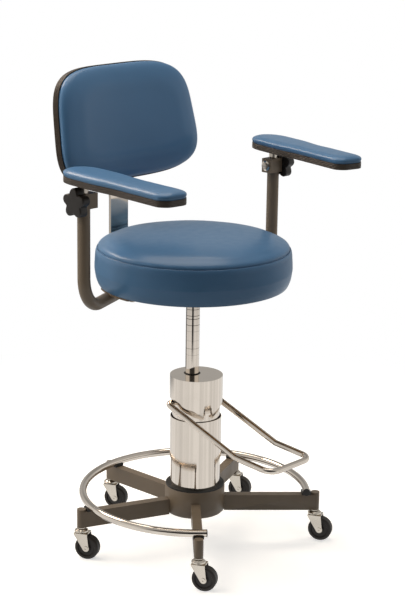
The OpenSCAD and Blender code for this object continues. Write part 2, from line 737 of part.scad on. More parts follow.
// Chromed cap: lid, skirt with a scalloped edge, and a notched tab over the filler plug
module column_cap() color("silver") difference() {
    translate([0, 0, tab_bottom]) cylinder(r = cap_radius, h = cap_top - tab_bottom);
    translate([0, 0, tab_bottom - overrun])
        cylinder(r = cap_inside, h = pump_top - tab_bottom + overrun);
    translate([0, rod_offset, pump_top - overrun])
        cylinder(r = seal_radius + running_gap, h = cap_sheet + 2 * overrun);
    rotate(column_turn + 90) rotate([90, 0, 0])
        linear_extrude(height = cap_radius + overrun) cap_edge_outline();
    rotate(column_turn + 90) translate([-cap_radius - overrun, -overrun, tab_bottom - overrun])
        cube([2 * (cap_radius + overrun), cap_radius + 2 * overrun,
            recess_height - tab_bottom + overrun]);
    rotate(column_turn) translate([0, -notch_width / 2, tab_bottom - overrun])
        cube([cap_radius + overrun, notch_width, notch_top - tab_bottom + overrun]);
}

module filler_plug() color("gray") rotate(column_turn) translate([pump_radius, 0, plug_height])
    rotate([0, 90, 0]) difference() {
        union() {
            translate([0, 0, running_gap - plug_depth])
                cylinder(r = plug_shank, h = plug_depth);
            translate([-plug_side / 2, -plug_side / 2, 0])
                cube([plug_side, plug_side, cap_inside - pump_radius]);
        }
        translate([-plug_slot / 2, -plug_side, cap_inside - pump_radius - plug_slot / 2])
            cube([plug_slot, 2 * plug_side, plug_slot]);
    }

module rod_seal() color("#1d1b19") translate([0, rod_offset, 0])
    rotate_extrude() polygon([[rod_radius + running_gap, pump_top - seal_depth],
        [seal_radius, pump_top - seal_depth], [seal_radius, cap_top],
        [rod_radius + running_gap + seal_rise / 2, cap_top + seal_rise],
        [rod_radius + running_gap, cap_top + seal_rise]]);

// Places of the score rings below the highest, as shares of their pitch
groove_shares = [0, 1, 1.5, 2.5];

module piston_rod() color("silver") translate([0, rod_offset, 0]) difference() {
    translate([0, 0, rod_bottom])
        cylinder(r = rod_radius, h = hub_bore_top - running_gap - rod_bottom);
    for (k = groove_shares) ring(rod_radius - groove_depth, rod_radius + overrun,
        groove_top - k * groove_pitch - groove_width / 2,
        groove_top - k * groove_pitch + groove_width / 2);
}

// Foot lever: one rod bent to a bail, with its two ends turned inward as the pivot
module pump_lever() color("silver") {
    pin = pivot_length - pivot_bend;
    arm = norm([knee_front + pivot_back, pivot_height - knee_height])
        - pivot_bend - knee_bend * tan(knee_turn / 2);
    fore = norm([treadle_front - knee_front, knee_height - treadle_height])
        - treadle_bend - knee_bend * tan(knee_turn / 2);
    bar = 2 * (lever_half_width - treadle_bend);
    translate([pivot_length - lever_half_width, pivot_back, pivot_height])
        rotate([arm_slope, 0, 0]) rotate([90, 0, -90])
            rod_chain([pin, arm, fore, bar, fore, arm, pin],
                [pivot_bend, knee_bend, treadle_bend, treadle_bend, knee_bend, pivot_bend],
                [90, knee_turn, 90, 90, knee_turn, 90], [0, 90, -90, 0, 90, -90], lever_rod);
}

// Seat

// Flange and swivel hub under the seat, bored for the piston rod's top
module seat_hub() color("dimgray") translate([0, rod_offset, 0]) difference() {
    rotate_extrude() polygon([[0, seat_hub_bottom], [seat_hub_radius, seat_hub_bottom],
        [seat_hub_radius, flange_bottom - flange_thick],
        [seat_hub_radius + flange_thick, flange_bottom], [flange_radius, flange_bottom],
        [flange_radius, seat_bottom], [0, seat_bottom]]);
    translate([0, 0, seat_hub_bottom - overrun])
        cylinder(r = rod_radius + running_gap, h = hub_bore_top - seat_hub_bottom + overrun);
    hub_screw_places() translate([0, 0, flange_bottom - overrun])
        cylinder(r = board_screw + running_gap, h = flange_thick + 2 * overrun);
}

// Children at the four screws of the hub's flange, about the swivel axis
module hub_screw_places() for (a = [45:90:315]) rotate(a)
    translate([flange_radius - 2 * board_screw_head, 0, 0]) children();

// Children at the four screws of each arm's mounting plate, all in front of the tube
module arm_screw_places(side)
    for (x = [arm_foot_edge - arm_foot_width + arm_foot_inset, arm_foot_edge - arm_foot_rim])
        for (y = [arm_foot_front + arm_foot_inset,
            arm_back + (arm_side - x) * tan(arm_run_angle) - arm_screw_front])
            translate([side * x, y, 0]) children();

// Children at the four screws of the back channel's flanges
module channel_screw_places() for (side = [-1, 1])
    for (y = [channel_front + channel_inset, channel_front + channel_length - channel_inset])
        translate([side * (channel_half - channel_flange / 2), y, 0]) children();

module all_board_screw_places() {
    translate([0, rod_offset, 0]) hub_screw_places() children();
    for (side = [-1, 1]) arm_screw_places(side) children();
    channel_screw_places() children();
}

module seat_board() color("#8a6b4a") difference() {
    translate([0, rod_offset, seat_bottom]) cylinder(r = board_radius, h = board_thick, $fn = 128);
    all_board_screw_places() translate([0, 0, seat_bottom - overrun])
        cylinder(r = board_screw + running_gap, h = board_screw_depth + 2 * overrun);
}

module board_screws() color("silver") {
    translate([0, rod_offset, 0]) hub_screw_places() board_screw_from(flange_bottom);
    for (side = [-1, 1]) arm_screw_places(side) board_screw_from(arm_foot_bottom);
    channel_screw_places() board_screw_from(seat_bottom - channel_wall);
}

// One hexagon-headed screw up into the seat's board, its head under a given height
module board_screw_from(under) {
    translate([0, 0, under]) cylinder(r = board_screw, h = seat_bottom + board_screw_depth - under);
    translate([0, 0, under - board_screw_rise])
        cylinder(r = board_screw_head, h = board_screw_rise, $fn = 6);
}

// Section of the seat's cushion: recess for the board, side that swells out from the underside,
// shoulder up to the seam and the crown over it
module seat_section() polygon(concat(
    [[0, seat_bottom + board_thick], [board_radius + running_gap, seat_bottom + board_thick],
        [board_radius + running_gap, seat_bottom]],
    [for (a = [0:15:90]) [seat_base_radius
        + (seat_radius - seat_base_radius) * pow(sin(a), side_power),
        seat_bottom + seat_wide * (1 - pow(cos(a), side_power))]],
    [for (a = [15:15:90]) [seam_radius + (seat_radius - seam_radius) * cos(a),
        seat_bottom + seat_wide + (seat_seam - seat_wide) * sin(a)]],
    [for (k = crown_shares) [seam_radius * k, seat_bottom + seat_seam
        + seat_crown * sqrt(1 - pow(k, crown_power))]]));
side_power = 1.5;
crown_shares = [0.998, 0.99, 0.975, 0.95, 0.92, 0.88, 0.83, 0.76, 0.66, 0.54, 0.4, 0.2, 0];
crown_power = 4;

module seat_cushion() color("#4f6f8c") translate([0, rod_offset, 0])
    rotate_extrude($fn = 128) seat_section();

// Arm tubes

module on_side(side) if (side < 0) mirror([1, 0, 0]) children(); else children();

// The arm's tube as a bent rod: level run under the seat, bend, upright
module arm_rod(r, past = 0)
    translate([arm_side - arm_run * cos(arm_run_angle), arm_back + arm_run * sin(arm_run_angle),
        arm_run_height]) rotate(-arm_run_angle) rotate([180, -90, 0]) translate([0, 0, -past])
            rod_chain([arm_run - arm_bend + past, block_bottom - arm_run_height - arm_bend + past],
                [arm_bend], [90], [0], r);

// Mounting plate: bevelled front corners, outer edge cut round to the seat
module arm_foot() intersection() {
    inner = arm_foot_edge - arm_foot_width;
    translate([0, 0, arm_foot_bottom]) linear_extrude(height = arm_foot_thick) polygon([
        [inner + arm_foot_bevel, arm_foot_front], [arm_foot_edge - arm_foot_bevel, arm_foot_front],
        [arm_foot_edge, arm_foot_front + arm_foot_bevel],
        [arm_foot_edge, arm_foot_front + arm_foot_length],
        [inner, arm_foot_front + arm_foot_length], [inner, arm_foot_front + arm_foot_bevel]]);
    translate([0, rod_offset, arm_foot_bottom - overrun])
        cylinder(r = seat_base_radius + arm_foot_proud, h = arm_foot_thick + 2 * overrun, $fn = 128);
}

module arm_tube(side) color("dimgray") on_side(side) difference() {
    union() {
        arm_rod(arm_tube);
        arm_foot();
    }
    arm_rod(arm_tube - arm_wall, overrun);
    arm_screw_places(1) translate([0, 0, arm_foot_bottom - overrun])
        cylinder(r = board_screw + running_gap, h = arm_foot_thick + 2 * overrun);
}

module arm_tube_left() arm_tube(1);
module arm_tube_right() arm_tube(-1);

module arm_block(side) color("dimgray") on_side(side)
    translate([arm_side, arm_back, block_bottom]) difference() {
        translate([-block_in, -block_front, 0])
            cube([block_in + block_out, block_front + block_rear, block_height]);
        translate([0, 0, -overrun]) cylinder(r = pin_bore, h = block_height + 2 * overrun);
        translate([0, -knob_front, knob_height]) rotate([0, 90, 0])
            cylinder(r = knob_stud + running_gap, h = block_out + overrun);
        translate([-block_in - overrun, 0, block_height / 2]) rotate([0, 90, 0])
            cylinder(r = block_screw + running_gap, h = block_screw_depth + overrun);
    }

module arm_block_left() arm_block(1);
module arm_block_right() arm_block(-1);

module block_screws() color("silver") for (side = [-1, 1]) on_side(side)
    translate([arm_side - block_in, arm_back, block_bottom + block_height / 2])
        rotate([0, 90, 0]) difference() {
            rotate_extrude() polygon([[0, -block_screw_rise],
                [block_screw_head - block_screw_rise, -block_screw_rise],
                [block_screw_head, -block_screw_rise / 2], [block_screw_head, 0],
                [block_screw, 0], [block_screw, block_screw_depth - running_gap],
                [0, block_screw_depth - running_gap]]);
            translate([-plug_slot / 2, -block_screw_head, -block_screw_rise - overrun])
                cube([plug_slot, 2 * block_screw_head, block_screw_rise / 2 + overrun]);
        }

// Star knob on its stud: five lobes round a body, hollows between them, on the +Z side of Z = 0
module star_knob(stud_radius, stud_length) {
    lobes = 5;
    linear_extrude(height = knob_thick) difference() {
        union() {
            circle(knob_body);
            for (i = [0:lobes - 1]) rotate(i * 360 / lobes)
                translate([knob_radius - lobe_radius, 0]) circle(lobe_radius);
        }
        for (i = [0:lobes - 1]) rotate((i + 1 / 2) * 360 / lobes)
            translate([knob_floor + knob_hollow, 0]) circle(knob_hollow);
    }
    translate([0, 0, -stud_length]) cylinder(r = stud_radius, h = stud_length + knob_thick / 2);
}

module arm_knob(side) color("#2e2823") on_side(side)
    translate([arm_side + block_out + knob_gap, arm_back - knob_front, block_bottom + knob_height])
        rotate([0, 90, 0]) rotate(180)
            star_knob(knob_stud, block_out + knob_gap - seam_gap
                - sqrt(pow(pin_radius, 2) - pow(knob_front - knob_stud, 2)));

module arm_knob_left() arm_knob(1);
module arm_knob_right() arm_knob(-1);

// Armrests

module arm_pin(side) color("silver") on_side(side)
    translate([arm_side, arm_back, pin_bottom])
        cylinder(r = pin_radius, h = plate_top - running_gap - pin_bottom);

module arm_pin_left() arm_pin(1);
module arm_pin_right() arm_pin(-1);

// Children in an armrest's own frame: X across (outward is +X on both sides), Y forward from
// the rear end, turned about the pin as photographed
module at_rest(side) translate([side * arm_side, arm_back, 0])
    rotate(side < 0 ? right_rest_turn : left_rest_turn)
        translate([-side * rest_inward, rest_pin_back, 0]) rotate(180) children();

// Half-width of an armrest at a distance forward of its rear end
function rest_half(s) = s < rest_rear_round
    ? rest_rear_half * pow(1 - pow(1 - s / rest_rear_round, rear_power), 1 / rear_power)
    : s < rest_taper_start ? rest_rear_half
    : s < rest_taper_end ? rest_front_half + (rest_rear_half - rest_front_half)
        * (1 + cos(180 * (s - rest_taper_start) / (rest_taper_end - rest_taper_start))) / 2
    : s < rest_length - rest_bevel ? rest_front_half
    : rest_front_half - (s - rest_length + rest_bevel);
rear_power = 2.4;
rear_shares = [0, 0.02, 0.08, 0.18, 0.32, 0.5, 0.72, 1];
taper_shares = [0, 0.25, 0.5, 0.75, 1];
rest_stations = concat([for (k = rear_shares) k * rest_rear_round],
    [for (k = taper_shares) rest_taper_start + k * (rest_taper_end - rest_taper_start)],
    [rest_length - rest_bevel, rest_length - rest_bevel / 2, rest_length]);
// Closed outline of an armrest, drawn in all round by a given inset
function rest_outline(inset) = let (
    pull = function(s) inset + s * (rest_length - 2 * inset) / rest_length,
    side = [for (s = rest_stations) if (s > 0) [max(rest_half(s) - inset, inset / 2), pull(s)]])
    concat([[0, inset]], side, [for (i = [len(side) - 1:-1:0]) [-side[i].x, side[i].y]]);

module rest_plate(side) color("dimgray") difference() {
    at_rest(side) translate([-plate_width / 2, rest_pin_back / 2, plate_bottom])
        cube([plate_width, plate_length, plate_thick]);
    translate([side * arm_side, arm_back, plate_bottom - overrun])
        cylinder(r = pin_bore, h = plate_thick + 2 * overrun);
    rest_screw_places(side) translate([0, 0, plate_bottom])
        sunk_screw(running_gap, plate_thick + overrun);
}

// Children at the four screws of an armrest's plate
module rest_screw_places(side) at_rest(side)
    for (x = [-plate_width / 2 + plate_screw_head + plate_screw,
        plate_width / 2 - plate_screw_head - plate_screw])
        for (y = [rest_pin_back / 2 + plate_screw_head + plate_screw,
            rest_pin_back / 2 + plate_length - plate_screw_inset])
            translate([x, y, 0]) children();

module rest_plate_left() rest_plate(1);
module rest_plate_right() rest_plate(-1);

module rest_board(side) color("#1d1b19") difference() {
    at_rest(side) translate([0, 0, plate_top]) linear_extrude(height = rest_board)
        polygon(rest_outline(0));
    rest_screw_places(side) translate([0, 0, plate_top - overrun])
        cylinder(r = plate_screw + running_gap, h = rest_screw_depth + overrun);
}

module rest_board_left() rest_board(1);
module rest_board_right() rest_board(-1);

// A countersunk screw from a plate's underside up into the board, grown by a given gap
module sunk_screw(gap, top) rotate_extrude() polygon([[0, 0], [plate_screw_head + gap, 0],
    [plate_screw + gap, plate_screw_sink], [plate_screw + gap, top], [0, top]]);

module rest_screws(side) color("silver") rest_screw_places(side)
    translate([0, 0, plate_bottom])
        sunk_screw(0, plate_thick + rest_screw_depth - running_gap);

module rest_screws_left() rest_screws(1);
module rest_screws_right() rest_screws(-1);

// Loft through closed rings of equal point counts, capped by a fan at each end
module ring_loft(rings, low_centre, high_centre) {
    n = len(rings[0]);
    m = len(rings);
    points = concat([for (r = rings) for (p = r) p], [low_centre, high_centre]);
    walls = [for (j = [0:m - 2]) for (i = [0:n - 1]) for (half = [0, 1])
        let (a = j * n + i, b = j * n + (i + 1) % n, c = a + n, d = b + n)
        half == 0 ? [a, c, b] : [b, c, d]];
    low_cap = [for (i = [0:n - 1]) [i, (i + 1) % n, m * n]];
    high_cap = [for (i = [0:n - 1]) [(m - 1) * n + (i + 1) % n, (m - 1) * n + i, m * n + 1]];
    polyhedron(points, concat(walls, low_cap, high_cap));
}

// Cushion of an armrest: insets and heights as shares of its height, from the board to the crown
pad_shares = [[0.06, 0], [0, 0.16], [0, 0.42], [0.06, 0.56], [0.22, 0.74], [0.55, 0.90],
    [1.1, 0.98]];

module rest_pad(side) color("#4f6f8c") at_rest(side) ring_loft(
    [for (k = pad_shares) [for (p = rest_outline(k[0] * pad_height))
        [p.x, p.y, rest_board_top + k[1] * pad_height]]],
    [0, rest_length / 2, rest_board_top], [0, rest_length / 2, rest_board_top + pad_height]);

module rest_pad_left() rest_pad(1);
module rest_pad_right() rest_pad(-1);

// Back bar and channel

// Channel under the seat: floor, two walls, two screwed flanges and a threaded boss
module back_channel() color("dimgray") difference() {
    union() {
        translate([-channel_outside_half, channel_front, channel_floor])
            cube([2 * channel_outside_half, channel_length, seat_bottom - channel_floor]);
        translate([-channel_half, channel_front, seat_bottom - channel_wall])
            cube([2 * channel_half, channel_length, channel_wall]);
        translate([0, channel_front + channel_length / 2, boss_bottom])
            cylinder(r = boss_radius, h = boss_height);
    }
    translate([-channel_inside_half, channel_front - overrun, channel_floor + channel_wall])
        cube([2 * channel_inside_half, channel_length + 2 * overrun,
            seat_bottom - channel_floor - channel_wall + overrun]);
    translate([0, channel_front + channel_length / 2, boss_bottom - overrun])
        cylinder(r = back_stud + running_gap, h = boss_height + channel_wall + 2 * overrun);
    channel_screw_places() translate([0, 0, seat_bottom - channel_wall - overrun])
        cylinder(r = board_screw + running_gap, h = channel_wall + 2 * overrun);
}

module back_depth_knob() color("#2e2823")
    translate([0, channel_front + channel_length / 2, boss_bottom - knob_gap]) mirror([0, 0, 1])
        star_knob(back_stud, knob_gap + boss_height + channel_wall);

// Side view of the bar as a strip bent twice: Y to the right, Z up
function bend_arc(centre, r, from, to) = [for (k = bend_shares)
    centre + polar(r, from + k * (to - from))];
bend_shares = [0, 0.125, 0.25, 0.375, 0.5, 0.625, 0.75, 0.875, 1];
bar_low_centre = [bar_back - bar_low_bend, bar_run_height + bar_low_bend];
bar_high_start = bar_bend_height - bar_high_bend * tan(bar_lean / 2);
bar_high_centre = [bar_back + bar_high_bend, bar_high_start];
bar_top_way = [sin(bar_lean), cos(bar_lean)];
function bar_edge(off) = concat([[bar_front, bar_run_height - off]],
    bend_arc(bar_low_centre, bar_low_bend + off, -90, 0),
    bend_arc(bar_high_centre, bar_high_bend - off, half_turn, half_turn - bar_lean),
    [bar_high_centre + polar(bar_high_bend - off, half_turn - bar_lean)
        + bar_upper * bar_top_way]);

module back_bar() color("silver") {
    outer = bar_edge(bar_thick / 2);
    inner = bar_edge(-bar_thick / 2);
    rotate([90, 0, 90]) linear_extrude(height = bar_width, center = true)
        polygon(concat(outer, [for (i = [len(inner) - 1:-1:0]) inner[i]]));
}

// Backrest

// Children in the backrest's own frame: X across, Y up along the bar, Z forward off the bar
module at_back() translate([0, bar_back + back_up * sin(bar_lean),
    bar_bend_height + back_up * cos(bar_lean)])
    rotate([90 - bar_lean, 0, 0]) children();

// Bracket round the bar: sleeve, flange against the board and a threaded boss behind
module back_bracket() color("dimgray") at_back() difference() {
    union() {
        translate([-bracket_half, -bracket_length / 2, -bracket_back])
            cube([2 * bracket_half, bracket_length, bracket_back + board_front - seam_gap]);
        translate([-bracket_flange / 2, -bracket_flange_length / 2,
            board_front - seam_gap - bracket_wall])
            cube([bracket_flange, bracket_flange_length, bracket_wall]);
        translate([0, 0, -bracket_back - bracket_boss])
            cylinder(r = boss_radius, h = bracket_boss + bracket_wall);
    }
    translate([-bar_width / 2 - channel_gap, -bracket_length / 2 - overrun,
        -bar_thick / 2 - channel_gap])
        cube([bar_width + 2 * channel_gap, bracket_length + 2 * overrun,
            bar_thick + 2 * channel_gap]);
    translate([0, 0, -bracket_back - bracket_boss - overrun])
        cylinder(r = back_stud + running_gap, h = bracket_boss + bracket_wall + 2 * overrun);
    back_screw_places() translate([0, 0, board_front - 2 * bracket_wall])
        cylinder(r = board_screw + running_gap, h = 3 * bracket_wall);
}

module back_screw_places() for (x = [-1, 1]) for (y = [-1, 1])
    translate([x * (bracket_flange / 2 - bracket_inset),
        y * (bracket_flange_length / 2 - bracket_inset), 0]) children();

module back_height_knob() color("#2e2823") at_back()
    translate([0, 0, -bracket_back - bracket_boss - knob_gap]) mirror([0, 0, 1])
        star_knob(back_stud, knob_gap + bracket_boss + bracket_wall);

// Rounded outline of the backrest, wider at its foot, drawn in by an inset
function back_outline(inset) = [for (a = [3:6:357])
    let (y = (back_rise - inset) * sign(sin(a)) * pow(abs(sin(a)), 2 / back_power))
    [(back_half - inset) * sign(cos(a)) * pow(abs(cos(a)), 2 / back_power)
        * (1 - back_taper * y / back_rise), y]];

// A bowed shell between two distances off the bar at the backrest's middle
module bowed_shell(low, high) difference() {
    translate([0, -back_height, bow_radius]) rotate([-90, 0, 0])
        cylinder(r = bow_radius - low, h = 2 * back_height, $fn = 180);
    translate([0, -back_height - overrun, bow_radius]) rotate([-90, 0, 0])
        cylinder(r = bow_radius - high, h = 2 * (back_height + overrun), $fn = 180);
}

module back_board() color("#1d1b19") at_back() difference() {
    intersection() {
        translate([0, 0, board_front - overrun])
            linear_extrude(height = back_board_thick + 2 * back_bow)
                polygon(back_outline(0));
        bowed_shell(board_front, pad_front);
    }
    back_screw_places() translate([0, 0, board_front - overrun])
        cylinder(r = board_screw + running_gap, h = board_screw_depth - bracket_wall + overrun);
}

module back_edging() color("#1d1b19") at_back() intersection() {
    translate([0, 0, board_front - edging_width]) linear_extrude(height = 3 * edging_width + back_bow)
        difference() {
            polygon(back_outline(-edging_thick));
            polygon(back_outline(0));
        }
    bowed_shell(board_front - clear_gap, board_front - clear_gap + edging_width);
}

module back_screws() color("silver") at_back() back_screw_places() {
    translate([0, 0, board_front - seam_gap - bracket_wall])
        cylinder(r = board_screw, h = board_screw_depth);
    translate([0, 0, board_front - seam_gap - bracket_wall - board_screw_rise])
        cylinder(r = board_screw_head, h = board_screw_rise, $fn = 6);
}

// Cushion of the backrest: insets and heights as shares of its thickness, board to crown
back_shares = [[0.03, 0], [0.01, 0.10], [0.0, 0.30], [0.02, 0.46], [0.14, 0.64], [0.42, 0.80],
    [0.95, 0.91], [1.8, 0.97]];
// Forward bow at x of the arc that passes a given distance off the bar at the middle
function bow(x, off) = let (r = bow_radius - off) r - sqrt(r * r - x * x);

module back_cushion() color("#4f6f8c") at_back() ring_loft(
    [for (k = back_shares) [for (p = back_outline(k[0] * back_pad_thick + running_gap))
        [p.x, p.y, pad_front + running_gap + bow(p.x, pad_front) + k[1] * back_pad_thick]]],
    [0, 0, pad_front + running_gap], [0, 0, pad_front + back_pad_thick]);

base_hub();
leg_1();
leg_2();
leg_3();
leg_4();
leg_5();
hub_gasket();
foot_ring();
ring_caps();
ring_saddles();
ring_screws();
pump_bolt();
pump_body();
column_cover();
column_cap();
filler_plug();
rod_seal();
caster_stems();
caster_fork_1();
caster_fork_2();
caster_fork_3();
caster_fork_4();
caster_fork_5();
caster_wheel_1();
caster_wheel_2();
caster_wheel_3();
caster_wheel_4();
caster_wheel_5();
pump_lever();
piston_rod();
seat_hub();
seat_board();
seat_cushion();
board_screws();
arm_tube_left();
arm_tube_right();
arm_block_left();
arm_block_right();
block_screws();
arm_knob_left();
arm_knob_right();
arm_pin_left();
arm_pin_right();
rest_plate_left();
rest_plate_right();
rest_board_left();
rest_board_right();
rest_pad_left();
rest_pad_right();
rest_screws_left();
rest_screws_right();
back_channel();
back_depth_knob();
back_bar();
back_bracket();
back_height_knob();
back_board();
back_edging();
back_cushion();
back_screws();
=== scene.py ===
"""Looks of a foot-pumped medical stool: upholstery, edgings, knobs, finishes and a plain studio,
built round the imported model, whose meshes stay as they are."""

import math

import bpy
import numpy as np
from mathutils import Matrix, Vector


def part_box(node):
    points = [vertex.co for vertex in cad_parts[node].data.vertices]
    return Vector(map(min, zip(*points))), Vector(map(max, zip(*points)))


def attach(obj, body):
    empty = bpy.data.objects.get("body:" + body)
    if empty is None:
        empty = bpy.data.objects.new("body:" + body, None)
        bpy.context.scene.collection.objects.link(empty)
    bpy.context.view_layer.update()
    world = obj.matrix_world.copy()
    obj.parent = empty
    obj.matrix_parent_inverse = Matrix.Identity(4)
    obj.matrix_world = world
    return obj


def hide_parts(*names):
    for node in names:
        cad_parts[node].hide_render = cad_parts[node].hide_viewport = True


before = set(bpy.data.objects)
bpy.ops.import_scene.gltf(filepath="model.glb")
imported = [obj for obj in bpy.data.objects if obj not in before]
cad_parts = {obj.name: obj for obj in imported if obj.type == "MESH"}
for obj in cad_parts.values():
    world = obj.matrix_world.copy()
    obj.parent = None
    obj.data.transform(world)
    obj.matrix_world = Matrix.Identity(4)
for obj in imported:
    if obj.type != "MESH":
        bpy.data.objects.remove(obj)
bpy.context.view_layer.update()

bl_info = {
    "name": "Pump stool looks",
    "version": (1, 0, 0),
    "blender": (4, 5, 0),
    "location": "View3D > Sidebar > Stool",
    "description": "Upholstery, edgings, knobs, finishes and studio for a foot-pumped stool",
    "category": "Object",
}

MM = 0.001


def node_box(name):
    """Lowest and highest corners of a CAD node, in millimetres."""
    low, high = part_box(name)
    return np.array(low) / MM, np.array(high) / MM


# Places and sizes that part.scad gives, in millimetres
RUNNING_GAP = 0.05
# The seat: its box, its radius at the underside and at the seam, and the rise of its widest
# place and of its seam
SEAT_LOW, SEAT_HIGH = node_box("seat_cushion")
SEAT_MIDDLE = (SEAT_LOW + SEAT_HIGH) / 2
SEAT_RADIUS = (SEAT_HIGH[0] - SEAT_LOW[0]) / 2
SEAT_BASE_RADIUS, SEAM_RADIUS = 193.7, 197.0
SEAT_WIDE, SEAT_SEAM = 34, 76
BOARD_LOW, BOARD_HIGH = node_box("seat_board")
BOARD_RADIUS = (BOARD_HIGH[0] - BOARD_LOW[0]) / 2
# The back bar: its thickness, its lean, and the foot of its leaning run
BAR_THICK, BAR_LEAN = 6.35, math.radians(10.7)
BAR_BACK, BAR_HIGH = 232.8, 711
# The backrest: its middle's distance up the bar, half its size, how far forward of the bar its
# board and its pad start, and its bow
BACK_UP_BAR = 157.5
BACK_ORIGIN = np.array([0, BAR_BACK + BACK_UP_BAR * math.sin(BAR_LEAN),
                        BAR_HIGH + BACK_UP_BAR * math.cos(BAR_LEAN)])
BACK_UP = np.array([0, math.sin(BAR_LEAN), math.cos(BAR_LEAN)])
BACK_FORWARD = np.array([0, -math.cos(BAR_LEAN), math.sin(BAR_LEAN)])
BACK_HALF, BACK_RISE, BACK_TAPER = 190.75, 118.75, 0.06
BACK_STAND, BACK_BOARD_THICK, BACK_PAD_THICK = 18.5, 8, 36.0
BACK_BOARD_AT = BAR_THICK / 2 + BACK_STAND
BACK_PAD_AT = BACK_BOARD_AT + BACK_BOARD_THICK
BACK_BOW = 20.0
BOW_RADIUS = (BACK_HALF**2 + BACK_BOW**2) / (2 * BACK_BOW)
# The armrests: where the arms' pins stand, the boards' heights, the outline, the pin's place
# in it, and how far each rest is turned about its pin
ARM_SIDE, ARM_BACK = 279.8, 42.7
REST_BOARD_BOTTOM, REST_BOARD_TOP = 805.0, 817.0
REST_LENGTH, REST_REAR_HALF, REST_FRONT_HALF = 326.0, 39.0, 34.0
REST_ROUND, REST_TAPER_START, REST_TAPER, REST_BEVEL = 60, 110, 80, 14
REST_PIN_BACK, REST_INWARD = 48.5, 4.6
REST_TURNS = {"left": -13.3, "right": -6.7}
SIDES = {"left": 1, "right": -1}
# The knobs: the arm knobs' places, the depth knob's place, the studs' radii, the knobs' length
# and what the height knob's stud passes through
ARM_KNOB_OUT, ARM_KNOB_FRONT, ARM_KNOB_HEIGHT = 13.4, 4.4, 769.5
DEPTH_KNOB_BACK = 136.0
ARM_STUD, BACK_STUD, KNOB_LENGTH = 3.2, 4.0, 20
CHANNEL_GAP, BRACKET_WALL, BRACKET_BOSS, KNOB_GAP = 0.35, 4, 8, 1.2
# Heights of the dark lines painted round the rod, and how dark each is drawn: turned score lines,
# and at 508 mm the painted shadow edge of the seat
ROD_SCORES_AND_SEAT_SHADOW = ((516, 0.25), (508, 0.75), (494.5, 0.75), (487.75, 0.9), (474.25, 0.8),
             (461, 0.25), (441, 0.2), (424, 0.5), (410, 0.2))
# Direction from the stool to the camera, in degrees from +X
FRONT_ANGLE = 222.7
# The photograph's camera: its place in metres, its turn, its tilt down and its roll in
# degrees, its focal length and its picture's height in pixels, and its sensor's height
CAMERA_AT = (-2.4916, -2.3134, 1.44651)
CAMERA_TURNS = (-47.3, 15.25, 0.87)
FOCAL_PIXELS, PICTURE_HEIGHT, SENSOR_HEIGHT = 1709.29, 608, 36


# Sizes and colours that a user would change


class StoolUpholstery(bpy.types.PropertyGroup):
    """Sizes of the covers and their seams."""

    seam_depth: bpy.props.FloatProperty(
        name="Seam depth", description="Depth of the sewn seam round the seat",
        default=0.0016, min=0, max=0.004, unit="LENGTH")
    stitch_pitch: bpy.props.FloatProperty(
        name="Stitch pitch", description="Distance from one seam stitch to the next",
        default=0.0055, min=0.003, max=0.01, unit="LENGTH")
    swell: bpy.props.FloatProperty(
        name="Swell", description="Furthest that a cover lies off its plain form",
        default=0.0011, min=0, max=0.004, unit="LENGTH")
    rib_depth: bpy.props.FloatProperty(
        name="Rib depth", description="Depth of the grooves between an edging's ribs",
        default=0.0007, min=0, max=0.002, unit="LENGTH")


def colour(label, use, code):
    """A colour setting whose default is an sRGB hex code."""
    return bpy.props.FloatVectorProperty(
        name=label, description=use, subtype="COLOR", size=4, min=0, max=1, default=linear(code))


def linear(code):
    """Linear colour of an sRGB hex code: each channel is c/12.92 below 0.04045, and else
    ((c + 0.055)/1.055) to the power 2.4."""
    c = np.array([int(code[i:i + 2], 16) for i in (1, 3, 5)]) / 255
    rgb = np.where(c <= 0.04045, c / 12.92, ((c + 0.055) / 1.055) ** 2.4)
    return (*rgb.tolist(), 1.0)


class StoolColours(bpy.types.PropertyGroup):
    """Colours of the finishes."""

    vinyl: colour("Vinyl", "Upholstery cover", "#4d769f")
    paint: colour("Paint", "Powder coat on base, arm tubes and clamps", "#756858")
    chrome: colour("Chrome", "Bright plate on column, rod, ring, lever and back bar", "#dcd2c6")
    plate: colour("Caster plate", "Bright nickel plate on caster forks", "#d6cdc0")
    edging: colour("Edging", "Ribbed vinyl edging of backrest and arm boards", "#33291f")
    knob: colour("Knobs", "Moulded star knobs", "#1f1a16")
    tyre: colour("Tyres", "Caster wheels", "#241e19")


# Mesh making


def superellipse(half_x, half_y, power, count):
    """Closed outline with x = a sgn(cos t)|cos t|^(2/p) and y = b sgn(sin t)|sin t|^(2/p)."""
    t = (np.arange(count) + 0.5) * 2 * np.pi / count
    c, s = np.cos(t), np.sin(t)
    return np.stack([half_x * np.sign(c) * np.abs(c) ** (2 / power),
                     half_y * np.sign(s) * np.abs(s) ** (2 / power)], -1)


def evened(outline, count, shift=0.0):
    """Closed outline taken again at equal distances along itself."""
    ring = np.vstack([outline, outline[:1]])
    along = np.concatenate([[0], np.cumsum(np.linalg.norm(np.diff(ring, axis=0), axis=1))])
    at = (np.arange(count) + shift) / count * along[-1]
    return np.stack([np.interp(at, along, ring[:, k]) for k in (0, 1)], -1)


def softened(outline, width):
    """Closed outline blurred along itself: each point becomes the Gaussian mean of its
    neighbours, width points wide."""
    n = len(outline)
    k = np.minimum(np.arange(n), n - np.arange(n))
    weight = np.exp(-0.5 * (k / width) ** 2)
    spectrum = np.fft.rfft(weight / weight.sum())[:, None]
    return np.fft.irfft(np.fft.rfft(outline, axis=0) * spectrum, n=n, axis=0)


